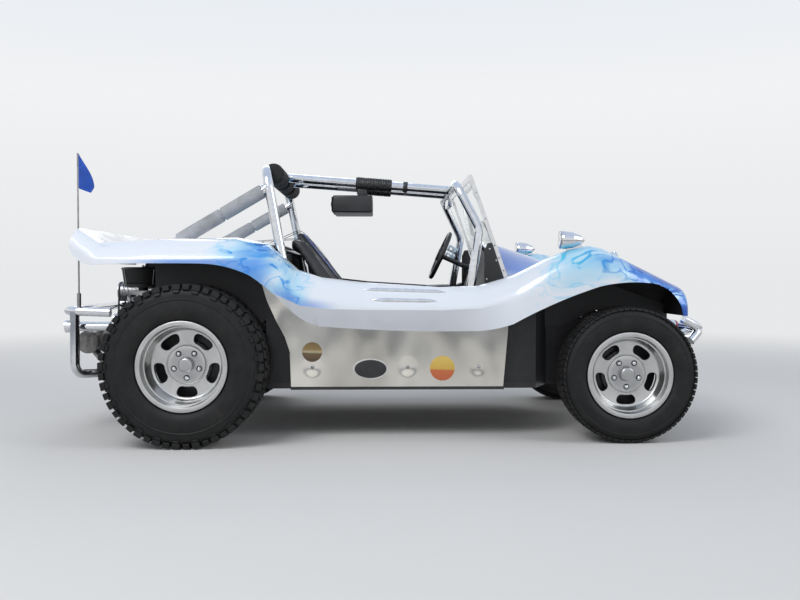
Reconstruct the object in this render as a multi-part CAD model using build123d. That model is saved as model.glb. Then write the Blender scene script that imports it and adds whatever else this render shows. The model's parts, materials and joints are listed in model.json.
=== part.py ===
from build123d import *
import os
from math import atan2, cos, hypot, radians, sin, tan

os.makedirs("parts", exist_ok=True)

# Overall layout: +X forward, +Y left, +Z up, ground at Z = 0
wheelbase = 2040.0
rear_overhang = 690.0
front_overhang = 480.0
overall_length = wheelbase + rear_overhang + front_overhang
rear_end = -overall_length / 2
front_end = overall_length / 2
rear_axle_x = rear_end + rear_overhang
front_axle_x = front_end - front_overhang
seat_gap = 0.3


# Places along the car: the tail and hoop follow the rear axle, the nose and screen the front axle
def back(distance):
    return rear_axle_x - distance


def ahead(distance):
    return front_axle_x + distance


# Wheels and tyres
rear_tyre_radius = 370.0
rear_tyre_width = 266.0
rear_wheel_y = 766.0
rear_rim_half = 120.0
rear_flange_radius = 205.5
rear_disc_face = 4.0
rear_cap_face = 44.0
rear_slot = (129.5, 54.0)
lug_count = 50
lug_groove_width = 11.0
lug_groove_depth = 11.0
lug_groove_start = 84.0
lug_slant = 15.0
front_tyre_radius = 316.0
front_tyre_width = 200.0
front_wheel_y = 700.0
front_rim_half = 90.0
front_flange_radius = 200.0
front_disc_face = 15.0
front_cap_face = 54.0
front_slot = (124.0, 50.0)
bead_step = 15.5
flange_width = 10.0
barrel_wall = 11.0
slot_count = 5
slot_sweep = 21.0
slot_land = 3.0
nut_circle = 58.0
nut_radius = 10.5
drum_radius = 112.0
bearing_radius = 16.0

# Steering
kingpin_y = front_wheel_y - 110.0
steer_arm = 90.0
pitman_y = 350.0
right_rod_z = 358.0
left_rod_z = 374.0
rod_radius = 8.0
wheel_centre = (ahead(-799.0), pitman_y, 897.0)
column_tilt = 23.8
steering_wheel_radius = 137.5
steering_grip = 12.5

# Body
body_wall = 8.0
body_low_z = 380.0
tub_half_width = 598.0
rim_half_width = tub_half_width - 13.0
lip_line_y = tub_half_width + 2.0
cockpit_rear_x = back(-343.0)
tub_wall = 8.0
pan_bottom_z = 235.0
pan_top_z = 262.0
tunnel_top_z = 372.0
panel_y = tub_half_width + 48.0
panel_wall = 4.0

# Tubes
hoop_tube = 24.0
cage_tube = 22.5
harness_bar_radius = 16.0
harness_bar_z = 912.0
bumper_tube = 22.5
cage_bend = 75.0
roof_bar_y = 130.0
stay_padding_radius = 35.0
screen_rake_foot = (ahead(-520.0), 706.0)
screen_rake_top = (ahead(-719.0), 1266.0)
screen_half_width = 542.0
screen_bar = 24.0


def save(name, shape):
    export_step(shape, f"parts/{name}.step")


def twin(shape):
    return Compound(children=[*shape.solids(), *mirror(shape, about=Plane.XZ).solids()])


def tube(points, radius, bend=60.0):
    path = FilletPolyline(*points, radius=bend) if len(points) > 2 else Line(*points)
    return sweep(Plane(origin=path @ 0, z_dir=path % 0) * Circle(radius), path=path)


def rod(start, end, radius):
    return tube((start, end), radius)


def block(x0, x1, y0, y1, z0, z1):
    return Pos((x0 + x1) / 2, (y0 + y1) / 2, (z0 + z1) / 2) * Box(x1 - x0, y1 - y0, z1 - z0)


def side_plate(points, y0, y1):
    face = make_face(Polyline(*[(x, y0, z) for x, z in points], close=True))
    return extrude(face, amount=y1 - y0, dir=(0, 1, 0))


def plan_plate(points, z0, z1):
    face = make_face(Polyline(*[(x, y, z0) for x, y in points], close=True))
    return extrude(face, amount=z1 - z0, dir=(0, 0, 1))


def drum(centre, axis, radius, length):
    return extrude(Plane(origin=centre, z_dir=axis) * Circle(radius), amount=length)


# Body form: one row per cross-section, points of one half; widths are told from the side of the tub
body_columns = ("x", "mid_z", "valley_in", "valley_z", "crest_out", "crest_z", "side_out", "side_z",
                "round")
body_rows = (
    (back(565.0), 1016.0, 178.0, 1018.0, 2.0, 1020.0, 107.0, 930.0, 1.0),
    (back(415.0), 926.0, 178.0, 930.0, 24.0, 936.0, 172.0, 850.0, 1.0),
    (back(155.0), 934.0, 178.0, 938.0, 37.0, 948.0, 200.0, 850.0, 1.0),
    (back(-215.0), 940.0, 168.0, 944.0, 37.0, 956.0, 202.0, 846.0, 1.0),
    (back(-355.0), 930.0, 158.0, 926.0, 24.0, 926.0, 184.0, 782.0, 0.95),
    (back(-495.0), 910.0, 138.0, 800.0, 10.0, 804.0, 155.0, 678.0, 0.8),
    (back(-605.0), 900.0, 118.0, 760.0, 6.0, 768.0, 140.0, 642.0, 0.65),
    (-100.0, 900.0, 98.0, 730.0, 4.0, 744.0, 127.0, 621.0, 0.5),
    (257.0, 912.0, 78.0, 708.0, 4.0, 722.0, 123.0, 616.0, 0.5),
    (ahead(-685.0), 932.0, 66.0, 708.0, 9.0, 728.0, 128.0, 624.0, 0.55),
    (ahead(-525.0), 946.0, 68.0, 714.0, 22.0, 776.0, 139.0, 662.0, 0.65),
    (ahead(-365.0), 893.0, 98.0, 720.0, 36.0, 858.0, 154.0, 740.0, 0.9),
    (ahead(-260.0), 852.0, 122.0, 714.0, 41.0, 901.0, 162.0, 777.0, 1.0),
    (ahead(-175.0), 816.0, 143.0, 704.0, 44.0, 919.0, 170.0, 804.0, 1.0),
    (ahead(-110.0), 790.0, 156.0, 693.0, 45.0, 909.0, 173.0, 800.0, 1.0),
    (ahead(-25.0), 756.0, 168.0, 676.0, 44.0, 867.0, 174.0, 770.0, 1.0),
    (ahead(265.0), 638.0, 178.0, 610.0, 36.0, 724.0, 164.0, 634.0, 1.0),
)


def dome(start, end, share):
    run, rise = abs(end[0] - start[0]), end[1] - start[1]
    chord = hypot(run, rise)
    lift = max(0.5 * tan(atan2(abs(rise), run) / 2) * share, 0.012) * chord
    nx, nz = -rise / chord, (end[0] - start[0]) / chord
    if nz < 0:
        nx, nz = -nx, -nz
    return ((start[0] + end[0]) / 2 + nx * lift, (start[1] + end[1]) / 2 + nz * lift)


def half_path(row, inset, low_z):
    r = dict(zip(body_columns, row))
    side_y = tub_half_width + r["side_out"]
    foot = (side_y + 3 - inset, low_z)
    side = (side_y - inset, r["side_z"] - 0.4 * inset)
    crest = (tub_half_width + r["crest_out"], r["crest_z"] - inset)
    valley = (tub_half_width - r["valley_in"], r["valley_z"] - inset)
    middle = (0.0, r["mid_z"] - inset)
    return foot, side, ((side, crest, r["round"]), (crest, valley, 1.0), (valley, middle, 1.0))


def across(row, inset, low_z, x):
    foot, side, arcs = half_path(row, inset, low_z)
    edges = [Line((x, -foot[0], foot[1]), (x, -side[0], side[1]))]
    for start, end, share in arcs:
        mid = dome(start, end, share)
        edges.append(ThreePointArc(*[(x, -p[0], p[1]) for p in (start, mid, end)]))
    for start, end, share in reversed(arcs):
        mid = dome(start, end, share)
        edges.append(ThreePointArc(*[(x, p[0], p[1]) for p in (end, mid, start)]))
    edges.append(Line((x, side[0], side[1]), (x, foot[0], foot[1])))
    return edges, foot


def filled_section(row, inset, low_z, x=None):
    x = row[0] if x is None else x
    edges, foot = across(row, inset, low_z, x)
    return Wire([*edges, Line((x, foot[0], low_z), (x, -foot[0], low_z))])


nose_steps = ((ahead(277.0), 9.0), (ahead(284.0), 30.0))
outer_sections = [filled_section(row, 0.0, body_low_z) for row in body_rows]
outer_sections += [filled_section(body_rows[-1], inset, body_low_z, x) for x, inset in nose_steps]
outer_form = Solid.make_loft(outer_sections, True)
inner_form = Solid.make_loft([filled_section(row, body_wall, body_low_z - 40) for row in body_rows], True)

# Edge of the body in side view: tail, rear arch, sill, front arch
sill_start, sill_end = (back(-603.0), 542.0), (ahead(-733.0), 518.0)
lip_arcs = (
    ((back(554.0), 913.0), (back(505.0), 848.0), (back(416.0), 826.0)),
    ((back(416.0), 826.0), (back(175.0), 832.0), (back(-69.0), 831.0)),
    ((back(-69.0), 831.0), (back(-188.0), 815.0), (back(-293.0), 775.0)),
    ((back(-293.0), 775.0), (back(-385.0), 703.0), (back(-470.0), 618.0)),
    ((back(-470.0), 618.0), (back(-530.0), 572.0), sill_start),
    (sill_start, ((sill_start[0] + sill_end[0]) / 2, 520.0), sill_end),
    (sill_end, (ahead(-630.0), 526.0), (ahead(-534.0), 551.0)),
    ((ahead(-534.0), 551.0), (ahead(-337.0), 650.0), (ahead(-140.0), 726.0)),
    ((ahead(-140.0), 726.0), (ahead(-23.0), 744.0), (ahead(93.0), 742.0)),
    ((ahead(93.0), 742.0), (ahead(191.0), 708.0), (ahead(233.0), 655.0)),
    ((ahead(233.0), 655.0), (ahead(246.0), 622.0), (ahead(252.0), 589.0)),
)
lip_start, lip_end = lip_arcs[0][0], lip_arcs[-1][2]


def below_lip(y0, y1):
    edges = [ThreePointArc(*[(x, y0, z) for x, z in arc]) for arc in lip_arcs]
    edges.append(Polyline((lip_end[0], y0, lip_end[1]), (lip_end[0], y0, 300.0), (back(585.0), y0, 300.0),
                          (back(585.0), y0, lip_start[1]), (lip_start[0], y0, lip_start[1])))
    return extrude(make_face(edges), amount=y1 - y0, dir=(0, 1, 0))


tail_cut = side_plate(((back(554), 913), (back(530), 1005), (back(525), 1060), (back(585), 1060),
                       (back(585), 913)),
                      -900, 900)
foot_cut = block(lip_end[0], ahead(325.0), -900, 900, 300, lip_end[1])
cockpit_outline = ((cockpit_rear_x, 560), (ahead(-485), 560), (ahead(-527), 700), (ahead(-625), 980),
                   (ahead(-625), 1400), (cockpit_rear_x, 1400))
cockpit_cut = side_plate(cockpit_outline, -rim_half_width, rim_half_width)
cockpit_cut = fillet(cockpit_cut.edges().filter_by(Axis.Z), 60.0)
body_shell = (outer_form - inner_form) - below_lip(-1000, -lip_line_y) - below_lip(lip_line_y, 1000)
body_shell = body_shell - tail_cut - foot_cut - cockpit_cut
save("body_shell", body_shell)

# Cockpit tub with rear bulkhead and footwell
tub_rear_x = cockpit_rear_x - 3
foot_wide_x, foot_narrow_x, foot_front_x = ahead(-405), ahead(-325), ahead(-115)
foot_half_width = tub_half_width - 158
tub_plan = ((tub_rear_x, -tub_half_width), (foot_wide_x, -tub_half_width),
            (foot_narrow_x, -foot_half_width),
            (foot_front_x, -foot_half_width), (foot_front_x, foot_half_width),
            (foot_narrow_x, foot_half_width),
            (foot_wide_x, tub_half_width), (tub_rear_x, tub_half_width))
tub_form = plan_plate(tub_plan, pan_top_z + seat_gap, 1100)
tub_hollow = offset(make_face(Polyline(*tub_plan, close=True)), amount=-tub_wall, kind=Kind.INTERSECTION)
tub_hollow = extrude(Pos(0, 0, 200) * tub_hollow, amount=1000)
tub_top = ((tub_rear_x, 905), (back(-355), 900), (back(-495), 780), (back(-605), 745), (-100, 722),
           (257, 700),
           (ahead(-525), 704), (ahead(-385), 704), (ahead(-335), 690), (ahead(-335), 560),
           (foot_front_x + 2, 560),
           (foot_front_x + 2, 200), (tub_rear_x - 5, 200), (tub_rear_x - 5, 905))
cockpit_tub = (tub_form - tub_hollow) & side_plate(tub_top, -700, 700)
tab_form = Pos(0, 0, -seat_gap) * inner_form
for x, low in ((-250, 700), (120, 680), (500, 680)):
    for y0, y1 in ((-tub_half_width, tub_wall - tub_half_width),
                   (tub_half_width - tub_wall, tub_half_width)):
        cockpit_tub = cockpit_tub + (block(x - 20, x + 20, y0, y1, low, 850) & tab_form)
save("cockpit_tub", cockpit_tub)

# Floor pan with tunnel, frame head, torsion housing and rear horns
sill_rear_x, sill_front_x = back(-460), ahead(-565)
pan_edge_y = panel_y - seat_gap
frame_head_x = ahead(137)
pan_half = ((frame_head_x, 110), (ahead(-115), 150), (ahead(-115), foot_half_width),
            (foot_narrow_x, foot_half_width),
            (foot_wide_x, tub_half_width), (sill_front_x, tub_half_width), (sill_front_x, pan_edge_y),
            (sill_rear_x, pan_edge_y), (sill_rear_x, tub_half_width), (tub_rear_x, tub_half_width))
pan = plan_plate((*pan_half, *[(x, -y) for x, y in reversed(pan_half)]), pan_bottom_z, pan_top_z)
tunnel = block(cockpit_rear_x + 6, foot_front_x - 9, -80, 80, pan_top_z - 1, tunnel_top_z)
tunnel = fillet(tunnel.edges().filter_by(Axis.X).group_by(Axis.Z)[-1], 45)
frame_head = block(foot_front_x + 9, frame_head_x, -100, 100, pan_top_z - 1, 330)
torsion_x = back(-290)
torsion_half_width = rear_wheel_y - 166
torsion_housing = drum((torsion_x, -torsion_half_width, 320), (0, 1, 0), 45, 2 * torsion_half_width)
horn = tube(((torsion_x, -165, 300), (back(-15), -175, 250), (back(165), -185, 250)), 24, 60)
floor_pan = pan + tunnel + frame_head + torsion_housing + horn + mirror(horn, about=Plane.XZ)
floor_pan = floor_pan + block(torsion_x - 30, tub_rear_x - 1, -500, 500, pan_bottom_z, 300) + block(
    tub_rear_x - 25, tub_rear_x + 5, -500, 500, pan_bottom_z, pan_top_z)
save("floor_pan", floor_pan)

# Polished side panels
panel_outline = ((back(-463), 250), (ahead(-570), 250), (ahead(-547), 520), (ahead(-547), 655), (-100, 660),
                 (back(-605), 695), (back(-495), 730), (back(-415), 760), (back(-295), 760),
                 (back(-328), 732),
                 (back(-349), 661), (back(-391), 567), (back(-434), 486), (back(-457), 416))
side_panels = twin(side_plate(panel_outline, -panel_y - panel_wall, -panel_y))
save("side_panels", side_panels)

# Roll hoop and its bars
hoop_lean = 0.197


def hoop_x(z):
    return back(-407.0) - hoop_lean * (z - 890.0)


hoop_top_z = 1325.0 - hoop_tube
hoop_foot_y, hoop_waist_y, hoop_top_y = tub_half_width - 38, tub_half_width - 42, tub_half_width - 93
hoop_points = [(hoop_x(pan_top_z - 15), -hoop_foot_y, pan_top_z - 15), (hoop_x(890), -hoop_waist_y, 890),
               (hoop_x(hoop_top_z), -hoop_top_y, hoop_top_z)]
hoop_points += [(x, -y, z) for x, y, z in reversed(hoop_points)]
below_floor = block(back(0), ahead(0), -700, 700, 200, pan_top_z + seat_gap)
roll_hoop = tube(hoop_points, hoop_tube, 110) - below_floor
hoop_clear = tube(hoop_points, hoop_tube + seat_gap, 110)
save("roll_hoop", roll_hoop)
harness_ends = [(hoop_x(harness_bar_z), y, harness_bar_z) for y in (-hoop_waist_y, hoop_waist_y)]
save("harness_bar", rod(*harness_ends, harness_bar_radius) - hoop_clear)

# Front cage
cage_top_x, cage_top_z = ahead(-778), 1231
cage_points = [(ahead(-721), 50 - tub_half_width, pan_top_z - 15), (ahead(-712), 68 - tub_half_width, 726),
               (ahead(-689), 78 - tub_half_width, 863), (ahead(-665), 98 - tub_half_width, 1005),
               (cage_top_x, 146 - tub_half_width, cage_top_z)]
cage_points += [(x, -y, z) for x, y, z in reversed(cage_points)]
front_cage = tube(cage_points, cage_tube, cage_bend) - below_floor
cage_clear = tube(cage_points, cage_tube + seat_gap, cage_bend)
save("front_cage", front_cage)

roof_bar_ends = ((hoop_x(hoop_top_z), -roof_bar_y, hoop_top_z), (cage_top_x, -roof_bar_y, cage_top_z))
roof_bar = rod(*roof_bar_ends, cage_tube) - hoop_clear - cage_clear
roof_bar = roof_bar.solids().sort_by(SortBy.VOLUME)[-1]
save("roof_bars", twin(roof_bar))

# Rear stays with padding
stay_top = Vector(hoop_x(1206), 82 - tub_half_width, 1206)
stay_foot = Vector(back(119), 118 - tub_half_width, 938)
stay = rod(tuple(stay_top), tuple(stay_foot), cage_tube) + Pos(*stay_foot) * Cylinder(48, 18)
stay = stay - hoop_clear - outer_form
stay = stay.solids().sort_by(SortBy.VOLUME)[-1]
save("rear_stays", twin(stay))
stay_run = stay_foot - stay_top
pad_start, pad_end = stay_top + stay_run * 0.13, stay_top + stay_run * 0.84
padding = rod(tuple(pad_start), tuple(pad_end), stay_padding_radius)
padding = padding - rod(tuple(stay_top), tuple(stay_foot), cage_tube + seat_gap)
save("stay_padding", twin(padding))

# Windscreen: raked flat frame on the cowl
rake = Vector(screen_rake_top[0] - screen_rake_foot[0], 0, screen_rake_top[1] - screen_rake_foot[1])
screen_height = rake.length
screen_plane = Plane(origin=(screen_rake_foot[0], 0, screen_rake_foot[1]), x_dir=(0, 1, 0),
                     z_dir=Vector(0, 1, 0).cross(rake.normalized()))


def screen_slab(half_width, low, high, thickness):
    face = screen_plane * Pos(0, (low + high) / 2) * Rectangle(2 * half_width, high - low)
    return extrude(face, amount=thickness / 2, both=True)


screen_slab_full = screen_slab(screen_half_width, 0, screen_height, 20)
screen_opening = screen_slab(screen_half_width - screen_bar, 0, screen_height - screen_bar, 40)
screen_opening = screen_opening - Pos(0, 0, screen_bar) * outer_form
screen_opening = screen_opening.solids().sort_by(SortBy.VOLUME)[-1]
windscreen_frame = screen_slab_full - screen_opening - Pos(0, 0, seat_gap) * outer_form
windscreen_frame = windscreen_frame.solids().sort_by(SortBy.VOLUME)[-1]
save("windscreen_frame", windscreen_frame)
glass = screen_slab(screen_half_width - screen_bar - seat_gap, 0, screen_height - screen_bar - seat_gap, 6)
glass = glass - Pos(0, 0, screen_bar + seat_gap) * outer_form
glass = glass.solids().sort_by(SortBy.VOLUME)[-1]
save("windscreen_glass", glass)

# Steering column axis
column_axis = Vector(cos(radians(column_tilt)), 0, -sin(radians(column_tilt)))
hub_point = Vector(*wheel_centre)


def along_column(distance):
    return hub_point + column_axis * distance


# Dashboard with instruments
dash_x = ahead(-647)
dash_half_width = tub_half_width - 76
dash_form = side_plate(((dash_x, 640), (dash_x, 712), (dash_x + 49, 925), (dash_x + 78, 945),
                        (dash_x + 162, 690),
                        (dash_x + 162, 640)), -tub_half_width, tub_half_width)
dash_arch = make_face([ThreePointArc((dash_x - 8, -dash_half_width, 700), (dash_x - 8, 0, 920),
                                     (dash_x - 8, dash_half_width, 700)),
                       Polyline((dash_x - 8, dash_half_width, 700), (dash_x - 8, dash_half_width, 640),
                                (dash_x - 8, -dash_half_width, 640), (dash_x - 8, -dash_half_width, 700))])
dashboard = dash_form & extrude(dash_arch, amount=200, dir=(1, 0, 0))
dash_room = ((dash_x + 17, 600), (dash_x + 33, 725), (dash_x + 77, 900), (dash_x + 222, 900),
             (dash_x + 222, 600))
dashboard = dashboard - side_plate(dash_room, 17 - dash_half_width, dash_half_width - 17)
dash_reach = tub_half_width - tub_wall - seat_gap
dashboard = dashboard + block(dash_x, dash_x + 17, -dash_reach, dash_reach, 640, 672)
dashboard = dashboard - rod(tuple(along_column(60)), tuple(along_column(500)), 24)
dashboard = dashboard.solids().sort_by(SortBy.VOLUME)[-1]
gauge_rows = ((245, 805, 38), (160, 800, 26), (95, 800, 26), (30, 800, 26))
gauge_solids = []
for y, z, radius in gauge_rows:
    x = dash_x + (z - 712) * 49 / 213
    gauge_solids.append(drum((x - 8, y, z), (1, 0, 0.0), radius, 16) - dashboard)
save("dashboard", dashboard)
save("gauges", Compound(children=[g.solids().sort_by(Axis.X)[0] for g in gauge_solids]))

# Seats: bucket with side wings on two rails, profile measured from the hip point
seat_x = back(-725.0)
seat_y = 325.0
seat_half_width = 195.0
seat_wing = 60.0
seat_left_top, seat_right_top = 1029.0, 952.0
seat_side = ((380, 300), (395, 450), (360, 470), (130, 430), (15, 590), (-64, 756), (-252, 992),
             (-275, 1019),
             (-310, 1029), (-318, 1010), (-166, 780), (-80, 600), (-40, 400), (20, 300))
seat_room = ((420, 430), (370, 425), (110, 350), (45, 420), (-25, 570), (-106, 756), (-246, 950),
             (-230, 1010),
             (190, 1200), (590, 800))
seat_front = ((0, 290), (150, 290), (195, 420), (195, 740), (150, 960), (112, 1029), (0, 1040))


def bucket_seat(y, top_z):
    form = side_plate([(seat_x + x, z) for x, z in seat_side], y - seat_half_width, y + seat_half_width)
    inside = seat_half_width - seat_wing
    room = side_plate([(seat_x + x, z) for x, z in seat_room], y - inside, y + inside)
    outline = [(seat_x - 400, y + side, z) for side, z in seat_front]
    outline += [(seat_x - 400, y - side, z) for side, z in reversed(seat_front[1:-1])]
    front_form = extrude(make_face(Polyline(*outline, close=True)), amount=900, dir=(1, 0, 0))
    seat = ((form - room) & front_form) - block(seat_x - 400, seat_x, y - 300, y + 300, top_z, 1100)
    for side in (-135, 135):
        seat = seat + block(seat_x + 70, seat_x + 360, y + side - 15, y + side + 15, pan_top_z + seat_gap,
                            301)
    return seat


save("seat_right", bucket_seat(-seat_y, seat_right_top))
save("seat_left", bucket_seat(seat_y, seat_left_top))

# Driver controls
control_z = tunnel_top_z + seat_gap
pedal_z = pan_top_z + seat_gap
gear_lever = rod((250, 0, control_z), (215, 0, 560), 8) + Pos(213, 0, 575) * Sphere(22)
gear_lever = gear_lever + Pos(250, 0, control_z + 10) * Cylinder(30, 20)
gear_lever = gear_lever - block(150, 350, -90, 90, 200, control_z)
hand_brake = rod((60, 45, 380), (240, 45, 440), 10) + block(40, 90, 30, 60, control_z, 400)
hand_brake = hand_brake - block(-50, 350, 20, 70, 200, control_z)
pedals = []
for y in (foot_half_width - 260, foot_half_width - 180, foot_half_width - 50):
    pedal = rod((ahead(-195), y, pedal_z), (ahead(-225), y, 420), 8)
    pedal = pedal + block(ahead(-240), ahead(-226), y - 28, y + 28, 395, 455)
    pedals.append(pedal - block(ahead(-325), ahead(-125), 100, 450, 200, pedal_z))
controls = [solid for piece in (gear_lever, hand_brake, *pedals) for solid in piece.solids()]
save("driver_controls", Compound(children=controls))

# Overhead box and sleeves on the roof bars
overhead_box = block(-281, -70, -165, 165, 1112, 1205)
overhead_box = fillet(overhead_box.edges().filter_by(Axis.Y), 14)
bar_slope = (cage_top_z - hoop_top_z) / (cage_top_x - hoop_x(hoop_top_z))


def bar_z(x):
    return hoop_top_z + (x - hoop_x(hoop_top_z)) * bar_slope


bar_line = rod(*roof_bar_ends, cage_tube + seat_gap)
sleeve = rod((-190, -roof_bar_y, bar_z(-190)), (20, -roof_bar_y, bar_z(20)), 30) - bar_line
hanger = block(-180, -150, -roof_bar_y - 20, 20 - roof_bar_y, 1200, bar_z(-165)) - bar_line
hanger = hanger.solids().sort_by(Axis.Z)[0]
overhead_console = overhead_box
for piece in (hanger, sleeve):
    overhead_console = overhead_console + piece + mirror(piece, about=Plane.XZ)
save("overhead_console", overhead_console)

# Mirrors
interior_mirror = block(cage_top_x - 9, cage_top_x + 9, -105, 105, 1150, 1196) + rod(
    (cage_top_x, 0, 1190), (cage_top_x, 0, cage_top_z - 6), 6)
interior_mirror = (interior_mirror - cage_clear).solids().sort_by(SortBy.VOLUME)[-1]
save("interior_mirror", interior_mirror)
mirror_profile = Polyline((0, 0), (0, 40), (12, 44), (60, 38), (100, 22), (120, 0), close=True)
mirror_y = -tub_half_width - 52
mirror_head = Pos(ahead(-301), mirror_y, 945) * revolve(make_face(mirror_profile), Axis.X)
mirror_stem = side_plate(((ahead(-285), 940), (ahead(-215), 936), (ahead(-157), 880), (ahead(-262), 880)),
                         mirror_y - 8, mirror_y + 8)
fender_mirror = (mirror_head + mirror_stem) - outer_form
fender_mirror = fender_mirror.solids().sort_by(SortBy.VOLUME)[-1]
save("fender_mirrors", twin(fender_mirror))

# Headlamps
lamp_x, lamp_y, lamp_z = ahead(-77.0), -384.0, 813.0
bowl_profile = Polyline((0, 0), (8, 40), (40, 72), (90, 84), (104, 88), (112, 88), (112, 79), (100, 76),
                        (96, 0),
                        close=True)
bowl = Pos(lamp_x, lamp_y, lamp_z) * revolve(make_face(bowl_profile), Axis.X)
lamp_foot = Pos(lamp_x + 50, lamp_y, 710) * Cylinder(20, 80)
lamp_foot = lamp_foot + Pos(lamp_x + 50, lamp_y, 685) * Cylinder(38, 40)
lamp_foot = lamp_foot - Pos(lamp_x, lamp_y, lamp_z) * Rot(0, 90, 0) * Cylinder(70, 400)
headlamp = (bowl + lamp_foot) - outer_form
headlamp = headlamp.solids().sort_by(SortBy.VOLUME)[-1]
save("headlamps", twin(headlamp))
lens_profile = Polyline((96 + seat_gap, 0), (96 + seat_gap, 60), (100, 74), (106, 78.5), (116, 60),
                        (122, 30), (124, 0),
                        close=True)
save("headlamp_lenses", twin(Pos(lamp_x, lamp_y, lamp_z) * revolve(make_face(lens_profile), Axis.X) - bowl))

# Front beam, trailing arms, bumper and indicators
beam_x = ahead(165)
beam_radius, beam_half_width = 27.0, kingpin_y - 110
beam_upper_z, beam_lower_z = 400.0, 280.0
front_beam = drum((beam_x, -beam_half_width, beam_upper_z), (0, 1, 0), beam_radius, 2 * beam_half_width)
front_beam = front_beam + drum((beam_x, -beam_half_width, beam_lower_z), (0, 1, 0), beam_radius,
                               2 * beam_half_width)
for y in (-400, -90, 90, 400):
    front_beam = front_beam + block(beam_x - 10, beam_x + 10, y - 10, y + 10, beam_lower_z, beam_upper_z)
front_beam = front_beam + block(ahead(137) + seat_gap, ahead(150), -110, 110, 240, 330)
save("front_beam", front_beam)


def trailing_arm(beam_z, pin_z):
    start, end = Vector(beam_x, -beam_half_width - 13, beam_z), Vector(front_axle_x, -kingpin_y, pin_z)
    arm_points = (tuple(start), (ahead(115), -beam_half_width - 35, beam_z),
                  (ahead(40), 28 - kingpin_y, pin_z), tuple(end))
    arm = tube(arm_points, 12, 20)
    eye = Pos(*end) * Cylinder(22, 18)
    boss = drum((beam_x, -beam_half_width - beam_radius, beam_z), (0, 1, 0), beam_radius,
                beam_radius - seat_gap)
    swing = Pos(front_axle_x, -kingpin_y, 338.5) * Cylinder(26, 215)
    return arm + eye + boss - swing


front_arms = Compound(children=[trailing_arm(beam_upper_z, 455), trailing_arm(beam_lower_z, 222)])
save("front_arms", Compound(children=[*[s for s in front_arms.solids()],
                                      *mirror(front_arms, about=Plane.XZ).solids()]))

apex_x = front_end - bumper_tube
upper_hoop = [(ahead(363), 25 - beam_half_width, 559), (apex_x, 50 - beam_half_width, 512)]
upper_hoop += [(x, -y, z) for x, y, z in reversed(upper_hoop)]
front_bumper = tube(upper_hoop, bumper_tube, 55)
lower_hoop = [(ahead(400), 28 - beam_half_width, 449), (apex_x - 4, 55 - beam_half_width, 500)]
lower_hoop += [(x, -y, z) for x, y, z in reversed(lower_hoop)]
lower_tube = tube(lower_hoop, bumper_tube, 40)
bumper_stay = tube(((beam_x, -300, beam_upper_z), (ahead(295), -300, 430), (apex_x, -300, 500)), 16, 60)
beam_clear = drum((beam_x, -beam_half_width, beam_upper_z), (0, 1, 0), beam_radius + seat_gap,
                  2 * beam_half_width)
bumper_stay = bumper_stay - beam_clear
bumper_stay = bumper_stay.solids().sort_by(SortBy.VOLUME)[-1]
front_bumper = front_bumper + lower_tube + bumper_stay + mirror(bumper_stay, about=Plane.XZ)
save("front_bumper", front_bumper)
indicator_y = 2 - beam_half_width
indicator = drum((ahead(267), indicator_y, 528), (1, 0, 0), 32, 34) + drum((ahead(301), indicator_y, 528),
                                                                           (1, 0, 0), 27, 10)
stalk_points = ((ahead(284), indicator_y, 515), (ahead(300), indicator_y + 8, 470),
                (ahead(435), indicator_y + 36, 474))
indicator_stalk = tube(stalk_points, 8, 20)
indicator_stalk = indicator_stalk - tube(lower_hoop, bumper_tube + seat_gap, 40)
indicator = indicator + indicator_stalk.solids().sort_by(Axis.X)[0]
save("front_indicators", twin(indicator))

# Rear axle, gearbox and engine
gearbox = drum((back(145), 0, 370), (1, 0, 0), 150, 70) + drum((back(75), 0, 370), (1, 0, 0), 112, 200)
gearbox = gearbox + drum((back(-125), 0, 370), (1, 0, 0), 70, 110)
axle_half_width = torsion_half_width + 10
axle = drum((rear_axle_x, -axle_half_width, rear_tyre_radius), (0, 1, 0), 34, 2 * axle_half_width)
hub_ends = drum((rear_axle_x, -rear_wheel_y + 6, rear_tyre_radius), (0, 1, 0), bearing_radius,
                2 * rear_wheel_y - 12)
back_plates = drum((rear_axle_x, -662, 370), (0, 1, 0), 108, 8) + drum((rear_axle_x, 654, 370), (0, 1, 0),
                                                                       108, 8)
spring_plate = side_plate(((back(15), 345), (back(15), 395), (back(-305), 350), (back(-305), 290)),
                          -torsion_half_width - 10, -torsion_half_width - seat_gap)
rear_axle = gearbox + axle + hub_ends + back_plates + spring_plate + mirror(spring_plate, about=Plane.XZ)
save("rear_axle", rear_axle)

engine_block = block(back(485), back(145.3), -150, 150, 290, 540)
engine_block = fillet(engine_block.edges().filter_by(Axis.X), 30)
sump = drum((back(315), 0, 262), (0, 0, 1), 90, 30)
engine_block = engine_block + sump
save("engine_block", engine_block)

cylinder_places = (back(220), back(370))
cylinder_bank = block(back(435), back(160), -378, -335, 350, 470)
for x in cylinder_places:
    cylinder_bank = cylinder_bank + drum((x, -340, 410), (0, 1, 0), 48, 189.7)
    for k in range(9):
        cylinder_bank = cylinder_bank + block(x - 66, x + 66, -325 + k * 18, -319 + k * 18, 346, 474)
rocker_cover = block(back(435), back(160), -405, -377, 362, 440)
rocker_cover = fillet(rocker_cover.edges().filter_by(Axis.X), 12)
save("engine_cylinders", twin(cylinder_bank))
save("rocker_covers", twin(Pos(0, -1.3, 0) * rocker_cover))

shroud = block(back(375), back(235), -255, 255, 560, 640) + drum((back(375), 0, 700), (1, 0, 0), 150, 140)
shroud = shroud + plan_plate(((back(375), -275), (back(235), -275), (back(235), 275), (back(375), 275)),
                             540.3, 575)
save("fan_shroud", shroud)

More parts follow.
